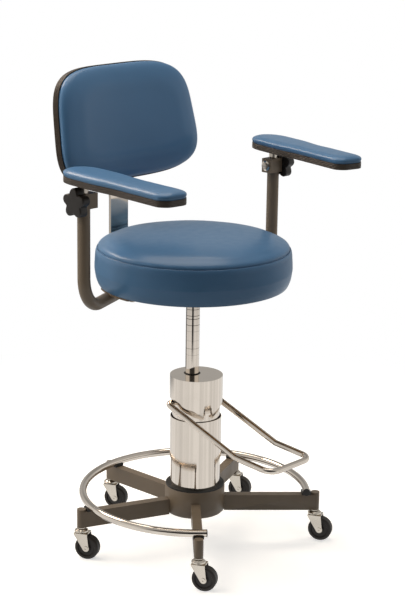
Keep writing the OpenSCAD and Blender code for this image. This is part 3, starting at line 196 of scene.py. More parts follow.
def ring_mesh(name, rings, poles=None, loop=False):
    """Mesh of closed rings of equal counts: quads join ring to ring, loop joins the last ring
    to the first, and poles closes both ends with a fan. Faces are turned outward by the sign
    of the volume, a sixth of the sum of each triangle's a . (b x c)."""
    m, n = rings.shape[:2]
    points = rings.reshape(-1, 3)
    index = np.arange(m * n).reshape(m, n)
    low = index if loop else index[:-1]
    high = np.roll(index, -1, 0) if loop else index[1:]
    quads = np.stack([low, np.roll(low, -1, 1), np.roll(high, -1, 1), high], -1).reshape(-1, 4)
    fans = np.zeros((0, 3), int)
    if poles is not None:
        points = np.vstack([points, np.array(poles, float)])
        first, last = index[0], index[-1]
        fans = np.vstack([
            np.stack([np.full(n, m * n), np.roll(first, -1), first], -1),
            np.stack([np.full(n, m * n + 1), last, np.roll(last, -1)], -1)])
    split = np.vstack([quads[:, [0, 1, 2]], quads[:, [0, 2, 3]], fans])
    a, b, c = (points[split[:, k]] for k in range(3))
    if np.einsum("ij,ij->", a, np.cross(b, c)) < 0:
        quads, fans = quads[:, ::-1], fans[:, ::-1]
    mesh = bpy.data.meshes.new(name)
    mesh.from_pydata((points * MM).tolist(), [], quads.tolist() + fans.tolist())
    mesh.validate()
    mesh.shade_smooth()
    return mesh


def piece(mesh, material, body=None, replaces=()):
    """Object of a finished mesh, in place on its body."""
    made = bpy.data.objects.new(mesh.name, mesh)
    bpy.context.scene.collection.objects.link(made)
    mesh.materials.append(material)
    if body:
        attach(made, body)
    if replaces:
        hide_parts(*replaces)
    return made


def turned(profile, count, centre):
    """Rings of a turned form: each (radius, height) of the profile is carried round the axis,
    (x, y, z) = centre + (r cos a, r sin a, h)."""
    a = np.arange(count) * 2 * np.pi / count
    r, h = profile[:, :1], profile[:, 1:]
    flat = np.stack([r * np.cos(a), r * np.sin(a), h + 0 * a], -1)
    return flat + np.array([centre[0], centre[1], 0])


# Foam and covers


def swelled(made, draw_in, voxel, cap, pressure=4.0, frames=20):
    """Places on a cover, and how far foam pushes each outward, in millimetres. A copy of the
    closed mesh is drawn in along its normals, remeshed to even voxels and run as Cloth with
    pressure and no gravity; no push counts for more than cap."""
    scene = bpy.context.scene
    mesh = made.data.copy()
    set_values(mesh.vertices, "co", values(mesh.vertices, "co")
               - values(mesh.vertices, "normal") * draw_in * MM)
    form = bpy.data.objects.new("swelling", mesh)
    scene.collection.objects.link(form)
    remesh = form.modifiers.new("even", "REMESH")
    remesh.mode, remesh.voxel_size = "VOXEL", voxel * MM
    bpy.context.view_layer.update()
    graph = bpy.context.evaluated_depsgraph_get()
    even = bpy.data.meshes.new_from_object(form.evaluated_get(graph))
    form.modifiers.clear()
    form.data = even
    start, out = values(even.vertices, "co"), values(even.vertices, "normal")
    cloth = form.modifiers.new("cover", "CLOTH").settings
    cloth.quality = 5
    cloth.mass = 0.3
    cloth.tension_stiffness = cloth.compression_stiffness = 15
    cloth.shear_stiffness = 5
    cloth.bending_stiffness = 0.5
    cloth.use_pressure = True
    cloth.uniform_pressure_force = pressure
    cloth.effector_weights.gravity = 0
    for f in range(1, frames + 1):
        scene.frame_set(f)
    blown = form.evaluated_get(bpy.context.evaluated_depsgraph_get())
    push = np.sum((values(blown.data.vertices, "co") - start) * out, axis=1) / MM
    bpy.data.objects.remove(form)
    scene.frame_set(1)
    return start / MM, np.clip(push, -cap, cap)


def filled_out(made, places, push, limit, free, blur=20.0):
    """Gives a cover the swell of its foam. Each point takes the Gaussian mean, blur wide, of
    the pushes near it, less the mean of all, held below a limit l by l tanh(x/2l) and times
    its own freedom to move, so that the grid that seams and grooves need stays."""
    points = points_of(made)
    places, push = places[::3], push[::3]
    square = np.sum(places**2, axis=1)
    lift = np.zeros(len(points))
    for part in np.array_split(np.arange(len(points)), len(points) // 2000 + 1):
        gap = np.sum(points[part] ** 2, axis=1)[:, None] + square - 2 * points[part] @ places.T
        near = np.exp(-np.maximum(gap, 0) / (2 * blur**2))
        lift[part] = near @ push / np.maximum(near.sum(axis=1), 1e-9)
    middle = np.sum(lift * free) / np.sum(free)
    lift = limit * np.tanh((lift - middle) / limit / 2) * free
    set_points(made, points + lift[:, None] * values(made.data.vertices, "normal"))


def smooth_step(value, start, end):
    """0 up to start, 1 from end on, and 3t^2 - 2t^3 between."""
    t = np.clip((value - start) / (end - start), 0, 1)
    return t * t * (3 - 2 * t)


def values(rows, name):
    """Three numbers of each row of mesh data, such as its place or normal."""
    flat = np.zeros(len(rows) * 3)
    rows.foreach_get(name, flat)
    return flat.reshape(-1, 3)


def set_values(rows, name, made):
    """Writes three numbers to each row of mesh data."""
    rows.foreach_set(name, made.ravel())


def points_of(made):
    """A piece's points in millimetres."""
    return values(made.data.vertices, "co") / MM


def set_points(made, points):
    """Gives a piece new points, in millimetres."""
    set_values(made.data.vertices, "co", points * MM)
    made.data.update()


def stitches(name, places, along, out, length, width):
    """One mesh of small thread stitches: a capsule at each place, its length along the seam
    and its height outward. Ring k of a capsule is at x = -L/2 cos(pi k/6), scaled by
    sin(pi k/6)."""
    k = np.arange(1, 6) * np.pi / 6
    t = np.arange(6) * np.pi / 3
    across = np.cross(along, out)
    x = -np.cos(k) * length / 2
    r = np.sin(k) * width / 2
    body = (places[:, None, None] + x[None, :, None, None] * along[:, None, None]
            + (r[:, None] * np.cos(t))[None, :, :, None] * across[:, None, None]
            + (r[:, None] * np.sin(t))[None, :, :, None] * out[:, None, None])
    count, m, n = body.shape[:3]
    tips = np.stack([places - along * length / 2, places + along * length / 2], 1)
    points = np.concatenate([body.reshape(count, m * n, 3), tips], 1)
    index = np.arange(m * n).reshape(m, n)
    side = np.stack([index[:-1], np.roll(index[:-1], -1, 1), np.roll(index[1:], -1, 1),
                     index[1:]], -1).reshape(-1, 4)
    ends = np.vstack([np.stack([np.full(n, m * n), np.roll(index[0], -1), index[0]], -1),
                      np.stack([np.full(n, m * n + 1), index[-1], np.roll(index[-1], -1)], -1)])
    shift = (np.arange(count) * (m * n + 2))[:, None, None]
    quads = (side[None] + shift).reshape(-1, 4)
    fans = (ends[None] + shift).reshape(-1, 3)
    mesh = bpy.data.meshes.new(name)
    mesh.from_pydata((points.reshape(-1, 3) * MM).tolist(), [],
                     quads[:, ::-1].tolist() + fans[:, ::-1].tolist())
    mesh.shade_smooth()
    return mesh


# Materials


def put(tree, kind, settings=None, links=None):
    """Adds one node. A setting is an attribute of the node or the default of an input, by
    name or number, and a link is an output that an input is joined to."""
    node = tree.nodes.new(kind)
    for key, value in (settings or {}).items():
        if isinstance(key, str) and hasattr(node, key):
            setattr(node, key, value)
        else:
            node.inputs[key].default_value = value
    for key, output in (links or {}).items():
        tree.links.new(output, node.inputs[key])
    return node


def finish_named(name):
    """An empty material with its output, its shader and the piece's own coordinates."""
    made = bpy.data.materials.new(name)
    made.use_nodes = True
    tree = made.node_tree
    tree.nodes.clear()
    shader = put(tree, "ShaderNodeBsdfPrincipled")
    put(tree, "ShaderNodeOutputMaterial", links={"Surface": shader.outputs[0]})
    place = put(tree, "ShaderNodeTexCoord").outputs["Object"]
    return made, tree, shader, place


def shaded(tree, place, base, dark, light, scale, detail=3.0):
    """Base colour that drifts between a darker and a lighter share of itself over noise."""
    noise = put(tree, "ShaderNodeTexNoise", {"Scale": scale, "Detail": detail}, {"Vector": place})
    low = tuple(c * dark for c in base[:3]) + (1.0,)
    high = tuple(min(1.0, c * light) for c in base[:3]) + (1.0,)
    return put(tree, "ShaderNodeMix", {"data_type": "RGBA", 6: low, 7: high},
               {0: noise.outputs[0]}).outputs[2]


def spread(tree, place, scale, low, high, detail=2.0):
    """A number that drifts from low to high over noise, for roughness."""
    noise = put(tree, "ShaderNodeTexNoise", {"Scale": scale, "Detail": detail}, {"Vector": place})
    return put(tree, "ShaderNodeMapRange", {1: 0.3, 2: 0.7, 3: low, 4: high},
               {0: noise.outputs[0]}).outputs[0]


def raised(tree, height, depth, strength=1.0, below=None):
    """Bump of a height in millimetres, laid over another bump if there is one."""
    links = {"Height": height}
    if below:
        links["Normal"] = below
    return put(tree, "ShaderNodeBump", {"Strength": strength, "Distance": depth * MM},
               links).outputs[0]


def coated(name, base, tone, crest, detail, depth, strength, gloss):
    """A finish whose colour drifts by tone (darkest, lightest, scale), whose bump is noise
    with crests so many millimetres apart, and whose roughness drifts by gloss (scale, low,
    high and perhaps detail)."""
    made, tree, shader, place = finish_named(name)
    tree.links.new(shaded(tree, place, base, *tone), shader.inputs["Base Color"])
    bump = put(tree, "ShaderNodeTexNoise", {"Scale": 1 / (crest * MM), "Detail": detail},
               {"Vector": place})
    tree.links.new(raised(tree, bump.outputs[0], depth, strength), shader.inputs["Normal"])
    tree.links.new(spread(tree, place, *gloss), shader.inputs["Roughness"])
    return made, tree, shader, place


def upholstery_vinyl(name, base):
    """Satin PVC-coated upholstery cloth, embossed with a fine leather grain. The real grain is
    0.8 mm across and is drawn at 3 mm so that it shows; the cover's topcoat gives a soft gloss
    over it."""
    made, tree, shader, place = finish_named(name)
    tree.links.new(shaded(tree, place, base, 0.95, 1.04, 9.0), shader.inputs["Base Color"])
    grain = put(tree, "ShaderNodeTexVoronoi", {"feature": "SMOOTH_F1", "Scale": 1 / (3 * MM)},
                {"Vector": place})
    tree.links.new(raised(tree, grain.outputs["Distance"], 0.06, 0.16), shader.inputs["Normal"])
    tree.links.new(spread(tree, place, 60.0, 0.32, 0.38), shader.inputs["Roughness"])
    shader.inputs["IOR"].default_value = 1.5
    shader.inputs["Specular IOR Level"].default_value = 0.24
    shader.inputs["Coat Weight"].default_value = 0.12
    shader.inputs["Coat Roughness"].default_value = 0.14
    return made


def powder_coat(name, base):
    """Polyester powder coat baked on steel: semi-gloss, with a faint orange peel about 3 mm
    from crest to crest."""
    return coated(name, base, (0.92, 1.08, 14.0), 3, 2.0, 0.05, 0.4, (45.0, 0.38, 0.5))[0]


def bright_plate(name, base, low, high):
    """Chromium or nickel plate over buffed steel: a mirror whose gloss is a little uneven
    where it was buffed and wiped, and whose surface rolls by hundredths of a millimetre."""
    made, tree, shader, place = coated(name, base, (0.96, 1.03, 22.0), 28, 1.0, 0.2, 0.3,
                                       (35.0, low, high, 4.0))
    shader.inputs["Metallic"].default_value = 1.0
    return made, tree, shader, place


def ringed_plate(name, base, low, high, heights, width):
    """The same plate on the piston rod, with a dark line painted round it at each height, in
    millimetres: its score lines, and one line that is the painted shadow of the seat's edge."""
    made, tree, shader, place = bright_plate(name, base, low, high)
    level = put(tree, "ShaderNodeSeparateXYZ", links={0: place}).outputs[2]
    total = None
    for height, depth in heights:
        line = put(tree, "ShaderNodeMath", {"operation": "COMPARE", 1: height * MM,
                                            2: width * MM / 2}, {0: level}).outputs[0]
        line = put(tree, "ShaderNodeMath", {"operation": "MULTIPLY", 1: depth},
                   {0: line}).outputs[0]
        total = line if total is None else put(
            tree, "ShaderNodeMath", {"operation": "MAXIMUM"}, {0: total, 1: line}).outputs[0]
    # Dark lines painted into the base colour: the score lines, and the seat's painted shadow edge
    # at 508 mm
    plain = shader.inputs["Base Color"].links[0].from_socket
    tree.links.new(put(tree, "ShaderNodeMix", {"data_type": "RGBA", 7: linear("#3a332c")},
                       {0: total, 6: plain}).outputs[2], shader.inputs["Base Color"])
    return made


def rubber(name, base, low=0.5, high=0.68):
    """Moulded black rubber: matt, with a fine mould texture and paler dust on it."""
    return coated(name, base, (0.8, 1.3, 40.0), 1.2, 3.0, 0.04, 0.5, (30.0, low, high))[0]


def moulded_plastic(name, base):
    """Glass-filled nylon from a spark-eroded mould: a fine even texture, 1 mm and finer, and
    a dull gloss."""
    return coated(name, base, (0.9, 1.12, 30.0), 0.9, 2.0, 0.04, 0.5, (50.0, 0.42, 0.55))[0]


def birch_ply(name, base):
    """Sealed birch plywood: long grain 3 mm apart that wanders, under a thin lacquer."""
    made, tree, shader, place = finish_named(name)
    long_way = put(tree, "ShaderNodeMapping", {"Scale": (1.0, 0.12, 1.0)}, {"Vector": place})
    grain = put(tree, "ShaderNodeTexNoise", {"Scale": 1 / (3 * MM), "Detail": 5.0},
                {"Vector": long_way.outputs[0]})
    dark = tuple(c * 0.7 for c in base[:3]) + (1.0,)
    tone = put(tree, "ShaderNodeMix", {"data_type": "RGBA", 6: dark, 7: base},
               {0: grain.outputs[0]}).outputs[2]
    tree.links.new(tone, shader.inputs["Base Color"])
    tree.links.new(raised(tree, grain.outputs[0], 0.08, 0.5), shader.inputs["Normal"])
    shader.inputs["Roughness"].default_value = 0.5
    return made


def finishes():
    """The object's materials by name, made once."""
    if "stool vinyl" not in bpy.data.materials:
        c = bpy.context.scene.stool_colours
        upholstery_vinyl("stool vinyl", c.vinyl)
        powder_coat("stool paint", c.paint)
        bright_plate("stool chrome", c.chrome, 0.05, 0.11)
        ringed_plate("stool rod plate", c.chrome, 0.05, 0.1, ROD_SCORES_AND_SEAT_SHADOW, 1.3)
        bright_plate("stool caster plate", c.plate, 0.12, 0.24)
        rubber("stool rubber", linear("#1d1b18"))
        rubber("stool tyre", c.tyre, 0.42, 0.6)
        moulded_plastic("stool knob plastic", c.knob)
        moulded_plastic("stool edging vinyl", c.edging)
        moulded_plastic("stool thread", linear("#1d2936"))
        birch_ply("stool plywood", linear("#b8935f"))
    return bpy.data.materials


# Pieces


class STOOL_OT_seat(bpy.types.Operator):
    """Round seat cushion with its top seam and stitches"""

    bl_idname = "stool.seat"
    bl_label = "Seat cushion"

    def section(self):
        """(radius, height) from the recess for the board out over the underside, up the side
        with (sin^1.5 a, 1 - cos^1.5 a), round the quarter-oval shoulder to the seam, then over
        the crown z = seam + c sqrt(1 - k^4) at radius k times the seam's."""
        low = SEAT_LOW[2]
        wide, seam = low + SEAT_WIDE, low + SEAT_SEAM
        bulge = SEAT_RADIUS - SEAT_BASE_RADIUS
        recess = BOARD_RADIUS + RUNNING_GAP
        floor = np.linspace(20, recess, 12)
        parts = [np.stack([floor, 0 * floor + BOARD_HIGH[2]], -1)]
        rise = np.linspace(BOARD_HIGH[2], low, 5)[1:]
        parts.append(np.stack([0 * rise + recess, rise], -1))
        a = np.radians(90 * np.linspace(0, 1, 34) ** 1.4)
        parts.append(np.stack([SEAT_BASE_RADIUS + bulge * np.sin(a) ** 1.5,
                               low + (wide - low) * (1 - np.abs(np.cos(a)) ** 1.5)], -1))
        a = np.radians(90 * np.linspace(0, 1, 30)[1:])
        parts.append(np.stack([SEAM_RADIUS + (SEAT_RADIUS - SEAM_RADIUS) * np.cos(a),
                               wide + (seam - wide) * np.sin(a)], -1))
        # the crown's rings lie closest together beside the seam
        t = np.linspace(0, 1, 60)[1:-1]
        k = 1 - 0.9985 * t**2.3 - 0.0004
        crown = SEAT_HIGH[2] - seam
        parts.append(np.stack([SEAM_RADIUS * k, seam + crown * np.sqrt(1 - k**4)], -1))
        return np.vstack(parts), seam

    def execute(self, context):
        cover = context.scene.stool_upholstery
        section, seam = self.section()
        rings = turned(section, 256, SEAT_MIDDLE)
        centre = SEAT_MIDDLE[:2].tolist()
        mesh = ring_mesh("seat_cover", rings, [centre + [BOARD_HIGH[2]], centre + [SEAT_HIGH[2]]])
        made = piece(mesh, finishes()["stool vinyl"], "seat", ["seat_cushion"])
        points = points_of(made)
        off = points[:, :2] - SEAT_MIDDLE[:2]
        r = np.linalg.norm(off, axis=1)
        a = np.arctan2(off[:, 1], off[:, 0])
        d = np.hypot(r - SEAM_RADIUS, points[:, 2] - seam)
        # the cover is held at the seam and at the foot of the side
        free = smooth_step(d, 5, 24) * smooth_step(points[:, 2] - SEAT_LOW[2], 12, 30)
        foam = swelled(made, draw_in=3.0, voxel=6.0, cap=9.0)
        filled_out(made, *foam, cover.swell / MM, free)
        points = points_of(made)
        # the seam: a groove, with a small pucker at each stitch on both sides of it
        groove_width, pucker_width, pucker_rise = 1.3, 5.0, 0.22
        pitch = cover.stitch_pitch / MM
        count = round(2 * np.pi * SEAM_RADIUS / pitch)
        groove = -cover.seam_depth / MM * np.exp(-(d / groove_width) ** 2)
        pucker = pucker_rise * np.cos(a * count) * np.exp(-(d / pucker_width) ** 2)
        out = np.stack([off[:, 0] / np.maximum(r, 1) * 0.7, off[:, 1] / np.maximum(r, 1) * 0.7,
                        0 * r + 0.714], -1)
        set_points(made, points + out * (groove + pucker)[:, None])
        a = (np.arange(count) + 0.5) * 2 * np.pi / count
        radial = np.stack([np.cos(a), np.sin(a), 0 * a], -1)
        along = np.stack([-np.sin(a), np.cos(a), 0 * a], -1)
        places = radial * (SEAM_RADIUS + 0.9) + np.array([*SEAT_MIDDLE[:2], seam - 0.9])
        out = radial * 0.8 + np.array([0, 0, 0.6])
        thread = stitches("seat_stitches", places, along, out, pitch * 0.62, 0.9)
        piece(thread, finishes()["stool thread"], "seat")
        return {"FINISHED"}


def backrest_points(flat, forward):
    """Places of backrest points: across X, up along the bar, forward off the bar."""
    return (BACK_ORIGIN + flat[..., :1] * np.array([1.0, 0, 0]) + flat[..., 1:2] * BACK_UP
            + forward[..., None] * BACK_FORWARD)


def bow(x, off=0.0):
    """Forward bow, at x, of the arc that crosses the middle at a distance off from the bar:
    with r = R - off, r - sqrt(r^2 - x^2)."""
    r = BOW_RADIUS - off
    return r - np.sqrt(r**2 - x**2)


def back_outline(inset, count):
    """Outline of the backrest drawn in by an inset: a superellipse of power 4 whose half-width
    is scaled by 1 - taper y/rise, so that it is wider at its foot."""
    flat = superellipse(BACK_HALF - inset, BACK_RISE - inset, 4.0, count)
    flat[:, 0] *= 1 - BACK_TAPER * flat[:, 1] / BACK_RISE
    return flat


class STOOL_OT_backrest(bpy.types.Operator):
    """Bowed backrest cushion and the ribbed edging round its board"""

    bl_idname = "stool.backrest"
    bl_label = "Backrest"

    def cushion_rings(self):
        """Rings from board to crown. The foot draws in by 4.5 (1 - t)^2.2 mm. Above it a
        ring's outline is the board's superellipse drawn in by u, its height T times
        0.3 + 0.67 sqrt(1 - (1 - u/U)^2.6), and the last rings shrink to the middle on a flat
        dome."""
        wide_at, reach, count = 0.30, 66.0, 224
        t = np.linspace(0, 1, 9)[:-1]
        inset = list(4.5 * (1 - t) ** 2.2 + RUNNING_GAP)
        height = list(wide_at * t)
        u = np.linspace(0, 1, 30) ** 2.0
        inset += list(RUNNING_GAP + reach * u)
        height += list(wide_at + 0.67 * np.sqrt(1 - (1 - u) ** 2.6))
        rings = [(back_outline(d, count), np.full(count, h * BACK_PAD_THICK))
                 for d, h in zip(inset, height)]
        inner = back_outline(reach, count)
        rings += [(inner * f, np.full(count, BACK_PAD_THICK * (0.97 + 0.03 * (1 - f * f))))
                  for f in np.linspace(1, 0, 12)[1:-1]]
        flat = np.array([f for f, h in rings])
        lift = np.array([h for f, h in rings])
        return flat, BACK_PAD_AT + bow(flat[..., 0], BACK_PAD_AT) + lift

    def execute(self, context):
        cover = context.scene.stool_upholstery
        flat, forward = self.cushion_rings()
        ends = np.array([BACK_PAD_AT, BACK_PAD_AT + BACK_PAD_THICK])
        poles = backrest_points(np.zeros((2, 2)), ends)
        mesh = ring_mesh("backrest_cover", backrest_points(flat, forward), poles)
        made = piece(mesh, finishes()["stool vinyl"], "backrest", ["back_cushion"])
        points = points_of(made)
        above = ((points - BACK_ORIGIN) @ BACK_FORWARD - BACK_PAD_AT
                 - bow(points[:, 0], BACK_PAD_AT))
        free = smooth_step(above, 0.35 * BACK_PAD_THICK, 0.9 * BACK_PAD_THICK)
        foam = swelled(made, draw_in=2.5, voxel=5.0, cap=8.0)
        filled_out(made, *foam, cover.swell / MM, free)
        mesh = self.edging(cover.rib_depth / MM)
        piece(mesh, finishes()["stool edging vinyl"], "backrest", ["back_edging"])
        return {"FINISHED"}

    def edging(self, rib):
        """Ribbed strip round the board: its section stands 2.4 mm out from the board's edge
        less a rib depth times sin^2 of its way across, and is carried round the outline along
        the outline's own normal."""
        count, thick, width, rim = 360, 2.4, 15.0, 0.9
        outline = evened(back_outline(0.0, 2400), count)
        ahead = np.roll(outline, -1, 0) - np.roll(outline, 1, 0)
        normal = np.stack([ahead[:, 1], -ahead[:, 0]], -1)
        normal /= np.linalg.norm(normal, axis=1)[:, None]
        t = np.linspace(0, 1, 61)
        edge = np.clip(np.minimum(t, 1 - t) * width / rim, 0, 1)
        out = thick - rim * (1 - np.sqrt(1 - (1 - edge) ** 2)) - rib * np.sin(5 * np.pi * t) ** 2
        section = np.concatenate([np.stack([out, t * width], -1),
                                  [[RUNNING_GAP, width * f] for f in (1, 0.5, 0)]])
        start = BACK_BOARD_AT - 0.5
        flat = outline[None] + normal[None] * section[:, None, :1]
        forward = start + bow(outline[:, 0], start)[None] + section[:, 1:2]
        return ring_mesh("backrest_edging", backrest_points(flat, forward), loop=True)


def rest_half(s):
    """Half-width of an armrest at s from its rear end: w (1 - |1 - s/R|^2.4)^(1/2.4) over the
    rounded rear of length R, then the rear half-width w, easing by a cosine to the front one,
    and a bevel in front."""
    rear = REST_REAR_HALF * (1 - np.clip(1 - s / REST_ROUND, 0, 1) ** 2.4) ** (1 / 2.4)
    ease = REST_FRONT_HALF + (REST_REAR_HALF - REST_FRONT_HALF) * (
        1 + np.cos(np.pi * np.clip((s - REST_TAPER_START) / REST_TAPER, 0, 1))) / 2
    bevel = np.clip(s - (REST_LENGTH - REST_BEVEL), 0, REST_BEVEL)
    return np.where(s < REST_ROUND, rear, ease) - bevel


def rest_outline(inset, count=220):
    """Closed outline of an armrest drawn in by an inset, its corners rounded."""
    bevel = REST_LENGTH - REST_BEVEL
    s = np.concatenate([REST_ROUND * (1 - np.cos(np.linspace(0, np.pi / 2, 40)))[1:],
                        np.linspace(REST_ROUND, bevel, 60)[1:],
                        np.linspace(bevel, REST_LENGTH, 8)[1:]])
    half = np.maximum(rest_half(s) - inset, inset / 4 + 0.2)
    along = inset + s * (REST_LENGTH - 2 * inset) / REST_LENGTH
    front = np.linspace(1, -1, 12)[1:-1]
    x = np.concatenate([[0], half, front * half[-1], -half[::-1]])
    y = np.concatenate([[inset], along, front * 0 + along[-1], along[::-1]])
    return softened(evened(np.stack([x, y], -1), count), 1.5)


def rest_points(side, flat, height):
    """Places of armrest points: x across and y forward of the rear end, turned about the
    arm's pin as the armrest stands."""
    sign = SIDES[side]
    turn = math.radians(REST_TURNS[side])
    x = -flat[..., 0] - sign * REST_INWARD
    y = -flat[..., 1] + REST_PIN_BACK
    return np.stack([sign * ARM_SIDE + x * math.cos(turn) - y * math.sin(turn),
                     ARM_BACK + x * math.sin(turn) + y * math.cos(turn), height], -1)


class STOOL_OT_arm_pads(bpy.types.Operator):
    """Padded armrests on their ribbed boards"""

    bl_idname = "stool.arm_pads"
    bl_label = "Armrests"

    def pad_rings(self, side):
        """Rings from board to crown: the foot draws in by 1.6 (1 - t)^2 mm, and above it the
        heights are T times 0.42 + 0.56 sqrt(1 - (1 - u/U)^3) at inset u."""
        thick, reach = 14.4, 21.0
        t = np.linspace(0, 1, 6)[:-1]
        inset = list(1.6 * (1 - t) ** 2)
        height = list(0.42 * t)
        u = np.linspace(0, 1, 24) ** 2.0
        inset += list(reach * u)
        height += list(0.42 + 0.56 * np.sqrt(1 - (1 - u) ** 3))
        flat = np.array([rest_outline(d) for d in inset])
        lift = np.array(height)[:, None] * thick + REST_BOARD_TOP + 0 * flat[..., 0]
        return rest_points(side, flat, lift), thick

    def board_rings(self, rib):
        """Outline insets and heights of a board whose edge has four ribs: the inset is the
        rib's depth times sin^2 of its way up."""
        t = np.linspace(0, 1, 49)
        thick, rim = REST_BOARD_TOP - REST_BOARD_BOTTOM, 0.7
        edge = np.clip(np.minimum(t, 1 - t) * thick / rim, 0, 1)
        inset = rib * np.sin(4 * np.pi * t) ** 2 + rim * (1 - np.sqrt(1 - (1 - edge) ** 2))
        height = REST_BOARD_BOTTOM + thick * t
        inset = np.concatenate([[24, 10, 3], inset, [3, 10, 24]])
        height = np.concatenate([[height[0]] * 3, height, [height[-1]] * 3])
        return inset, height

    def poles(self, side, heights):
        """Points at an armrest's middle at the given heights."""
        middle = np.array([[0, REST_LENGTH / 2]])
        return [rest_points(side, middle, np.array([h]))[0] for h in heights]

    def execute(self, context):
        cover = context.scene.stool_upholstery
        for side in SIDES:
            rings, thick = self.pad_rings(side)
            poles = self.poles(side, (REST_BOARD_TOP, REST_BOARD_TOP + thick))
            mesh = ring_mesh("arm_pad_" + side, rings, poles)
            made = piece(mesh, finishes()["stool vinyl"], side + "_armrest",
                         ["rest_pad_" + side])
            above = points_of(made)[:, 2] - REST_BOARD_TOP
            free = smooth_step(above, 0.5 * thick, 0.95 * thick)
            foam = swelled(made, draw_in=1.2, voxel=4.0, cap=4.0)
            filled_out(made, *foam, limit=0.6, free=free, blur=12.0)
            inset, height = self.board_rings(cover.rib_depth / MM)
            flat = np.array([rest_outline(d) for d in inset])
            rings = rest_points(side, flat, height[:, None] + 0 * flat[..., 0])
            poles = self.poles(side, (REST_BOARD_BOTTOM, REST_BOARD_TOP))
            mesh = ring_mesh("arm_board_" + side, rings, poles)
            piece(mesh, finishes()["stool edging vinyl"], side + "_armrest",
                  ["rest_board_" + side])
        return {"FINISHED"}


def star_outline(count):
    """Radius of a star knob by angle: on a lobe c cos t + sqrt(l^2 - c^2 sin^2 t), and in a
    hollow C cos p - sqrt(h^2 - C^2 sin^2 p) with p counted from the hollow's middle."""
    t = np.arange(count) * 2 * np.pi / count
    fifth = 2 * np.pi / 5
    t = np.abs((t + fifth / 2) % fifth - fifth / 2)
    lobe, lobe_at, hollow, hollow_at = 10.6, 19.9, 16.0, 39.6
    p = fifth / 2 - t
    on_lobe = lobe_at * np.cos(t) + np.sqrt(np.maximum(lobe**2 - (lobe_at * np.sin(t)) ** 2, 0))
    in_hollow = hollow_at * np.cos(p) - np.sqrt(
        np.maximum(hollow**2 - (hollow_at * np.sin(p)) ** 2, 0))
    return np.where(hollow_at * np.sin(p) < hollow, np.minimum(on_lobe, in_hollow), on_lobe)


class STOOL_OT_knobs(bpy.types.Operator):
    """Moulded star knobs on the arm clamps, the back channel and the backrest bracket"""

    bl_idname = "stool.knobs"
    bl_label = "Star knobs"

    def knob(self, name, origin, axis, up, stud_radius, stud_length):
        """Rings along the knob's axis: round rings for the stud, then the star's outline drawn
        in by d(w), with rounded rims and a slightly domed face."""
        count = 200
        star = softened(np.stack([star_outline(count), np.zeros(count)], -1), 5.0)[:, 0]
        a = np.arange(count) * 2 * np.pi / count
        back, front, rim_back, rim_front, dome = 0.0, 19.4, 1.6, 3.2, 0.55
        rows = [(stud_radius + 0 * a, -stud_length + 0.2), (stud_radius + 0 * a, back - 0.01),
                (star * 0.6, back), (star - rim_back - 2, back)]
        for k in np.radians(np.linspace(0, 90, 7)):
            rows.append((star - rim_back * (1 - math.sin(k)), back + rim_back * (1 - math.cos(k))))
        for k in np.radians(np.linspace(0, 90, 10)):
            rows.append((star - rim_front * (1 - math.cos(k)),
                         front - rim_front * (1 - math.sin(k))))
        for f in (0.92, 0.8, 0.6, 0.4, 0.2):
            rows.append(((star - rim_front) * f, front + dome * (1 - f * f)))
        side = np.cross(axis, up)
        r = np.array([row[0] for row in rows])
        w = np.array([row[1] for row in rows])
        rings = (origin + w[:, None, None] * axis + (r * np.cos(a))[..., None] * up
                 + (r * np.sin(a))[..., None] * side)
        poles = [origin - stud_length * axis, origin + (front + dome) * axis]
        return ring_mesh(name, rings, poles)

    def execute(self, context):
        finish = finishes()["stool knob plastic"]
        x, y, z = np.eye(3)
        for side, sign in SIDES.items():
            origin = np.array([sign * (ARM_SIDE + ARM_KNOB_OUT), ARM_BACK - ARM_KNOB_FRONT,
                               ARM_KNOB_HEIGHT])
            low, high = node_box("arm_knob_" + side)
            stud = abs(origin[0]) - min(abs(low[0]), abs(high[0]))
            mesh = self.knob("clamp_knob_" + side, origin, sign * x, z, ARM_STUD, stud)
            piece(mesh, finish, side + "_arm_knob", ["arm_knob_" + side])
        low, high = node_box("back_depth_knob")
        origin = np.array([0, DEPTH_KNOB_BACK, low[2] + KNOB_LENGTH])
        mesh = self.knob("depth_knob", origin, -z, x, BACK_STUD, high[2] - origin[2])
        piece(mesh, finish, "depth_knob", ["back_depth_knob"])
        behind = BAR_THICK / 2 + CHANNEL_GAP + BRACKET_WALL + BRACKET_BOSS + KNOB_GAP
        origin = BACK_ORIGIN - behind * BACK_FORWARD
        mesh = self.knob("height_knob", origin, -BACK_FORWARD, x, BACK_STUD,
                         BRACKET_WALL + BRACKET_BOSS + KNOB_GAP)
        piece(mesh, finish, "height_knob", ["back_height_knob"])
        return {"FINISHED"}


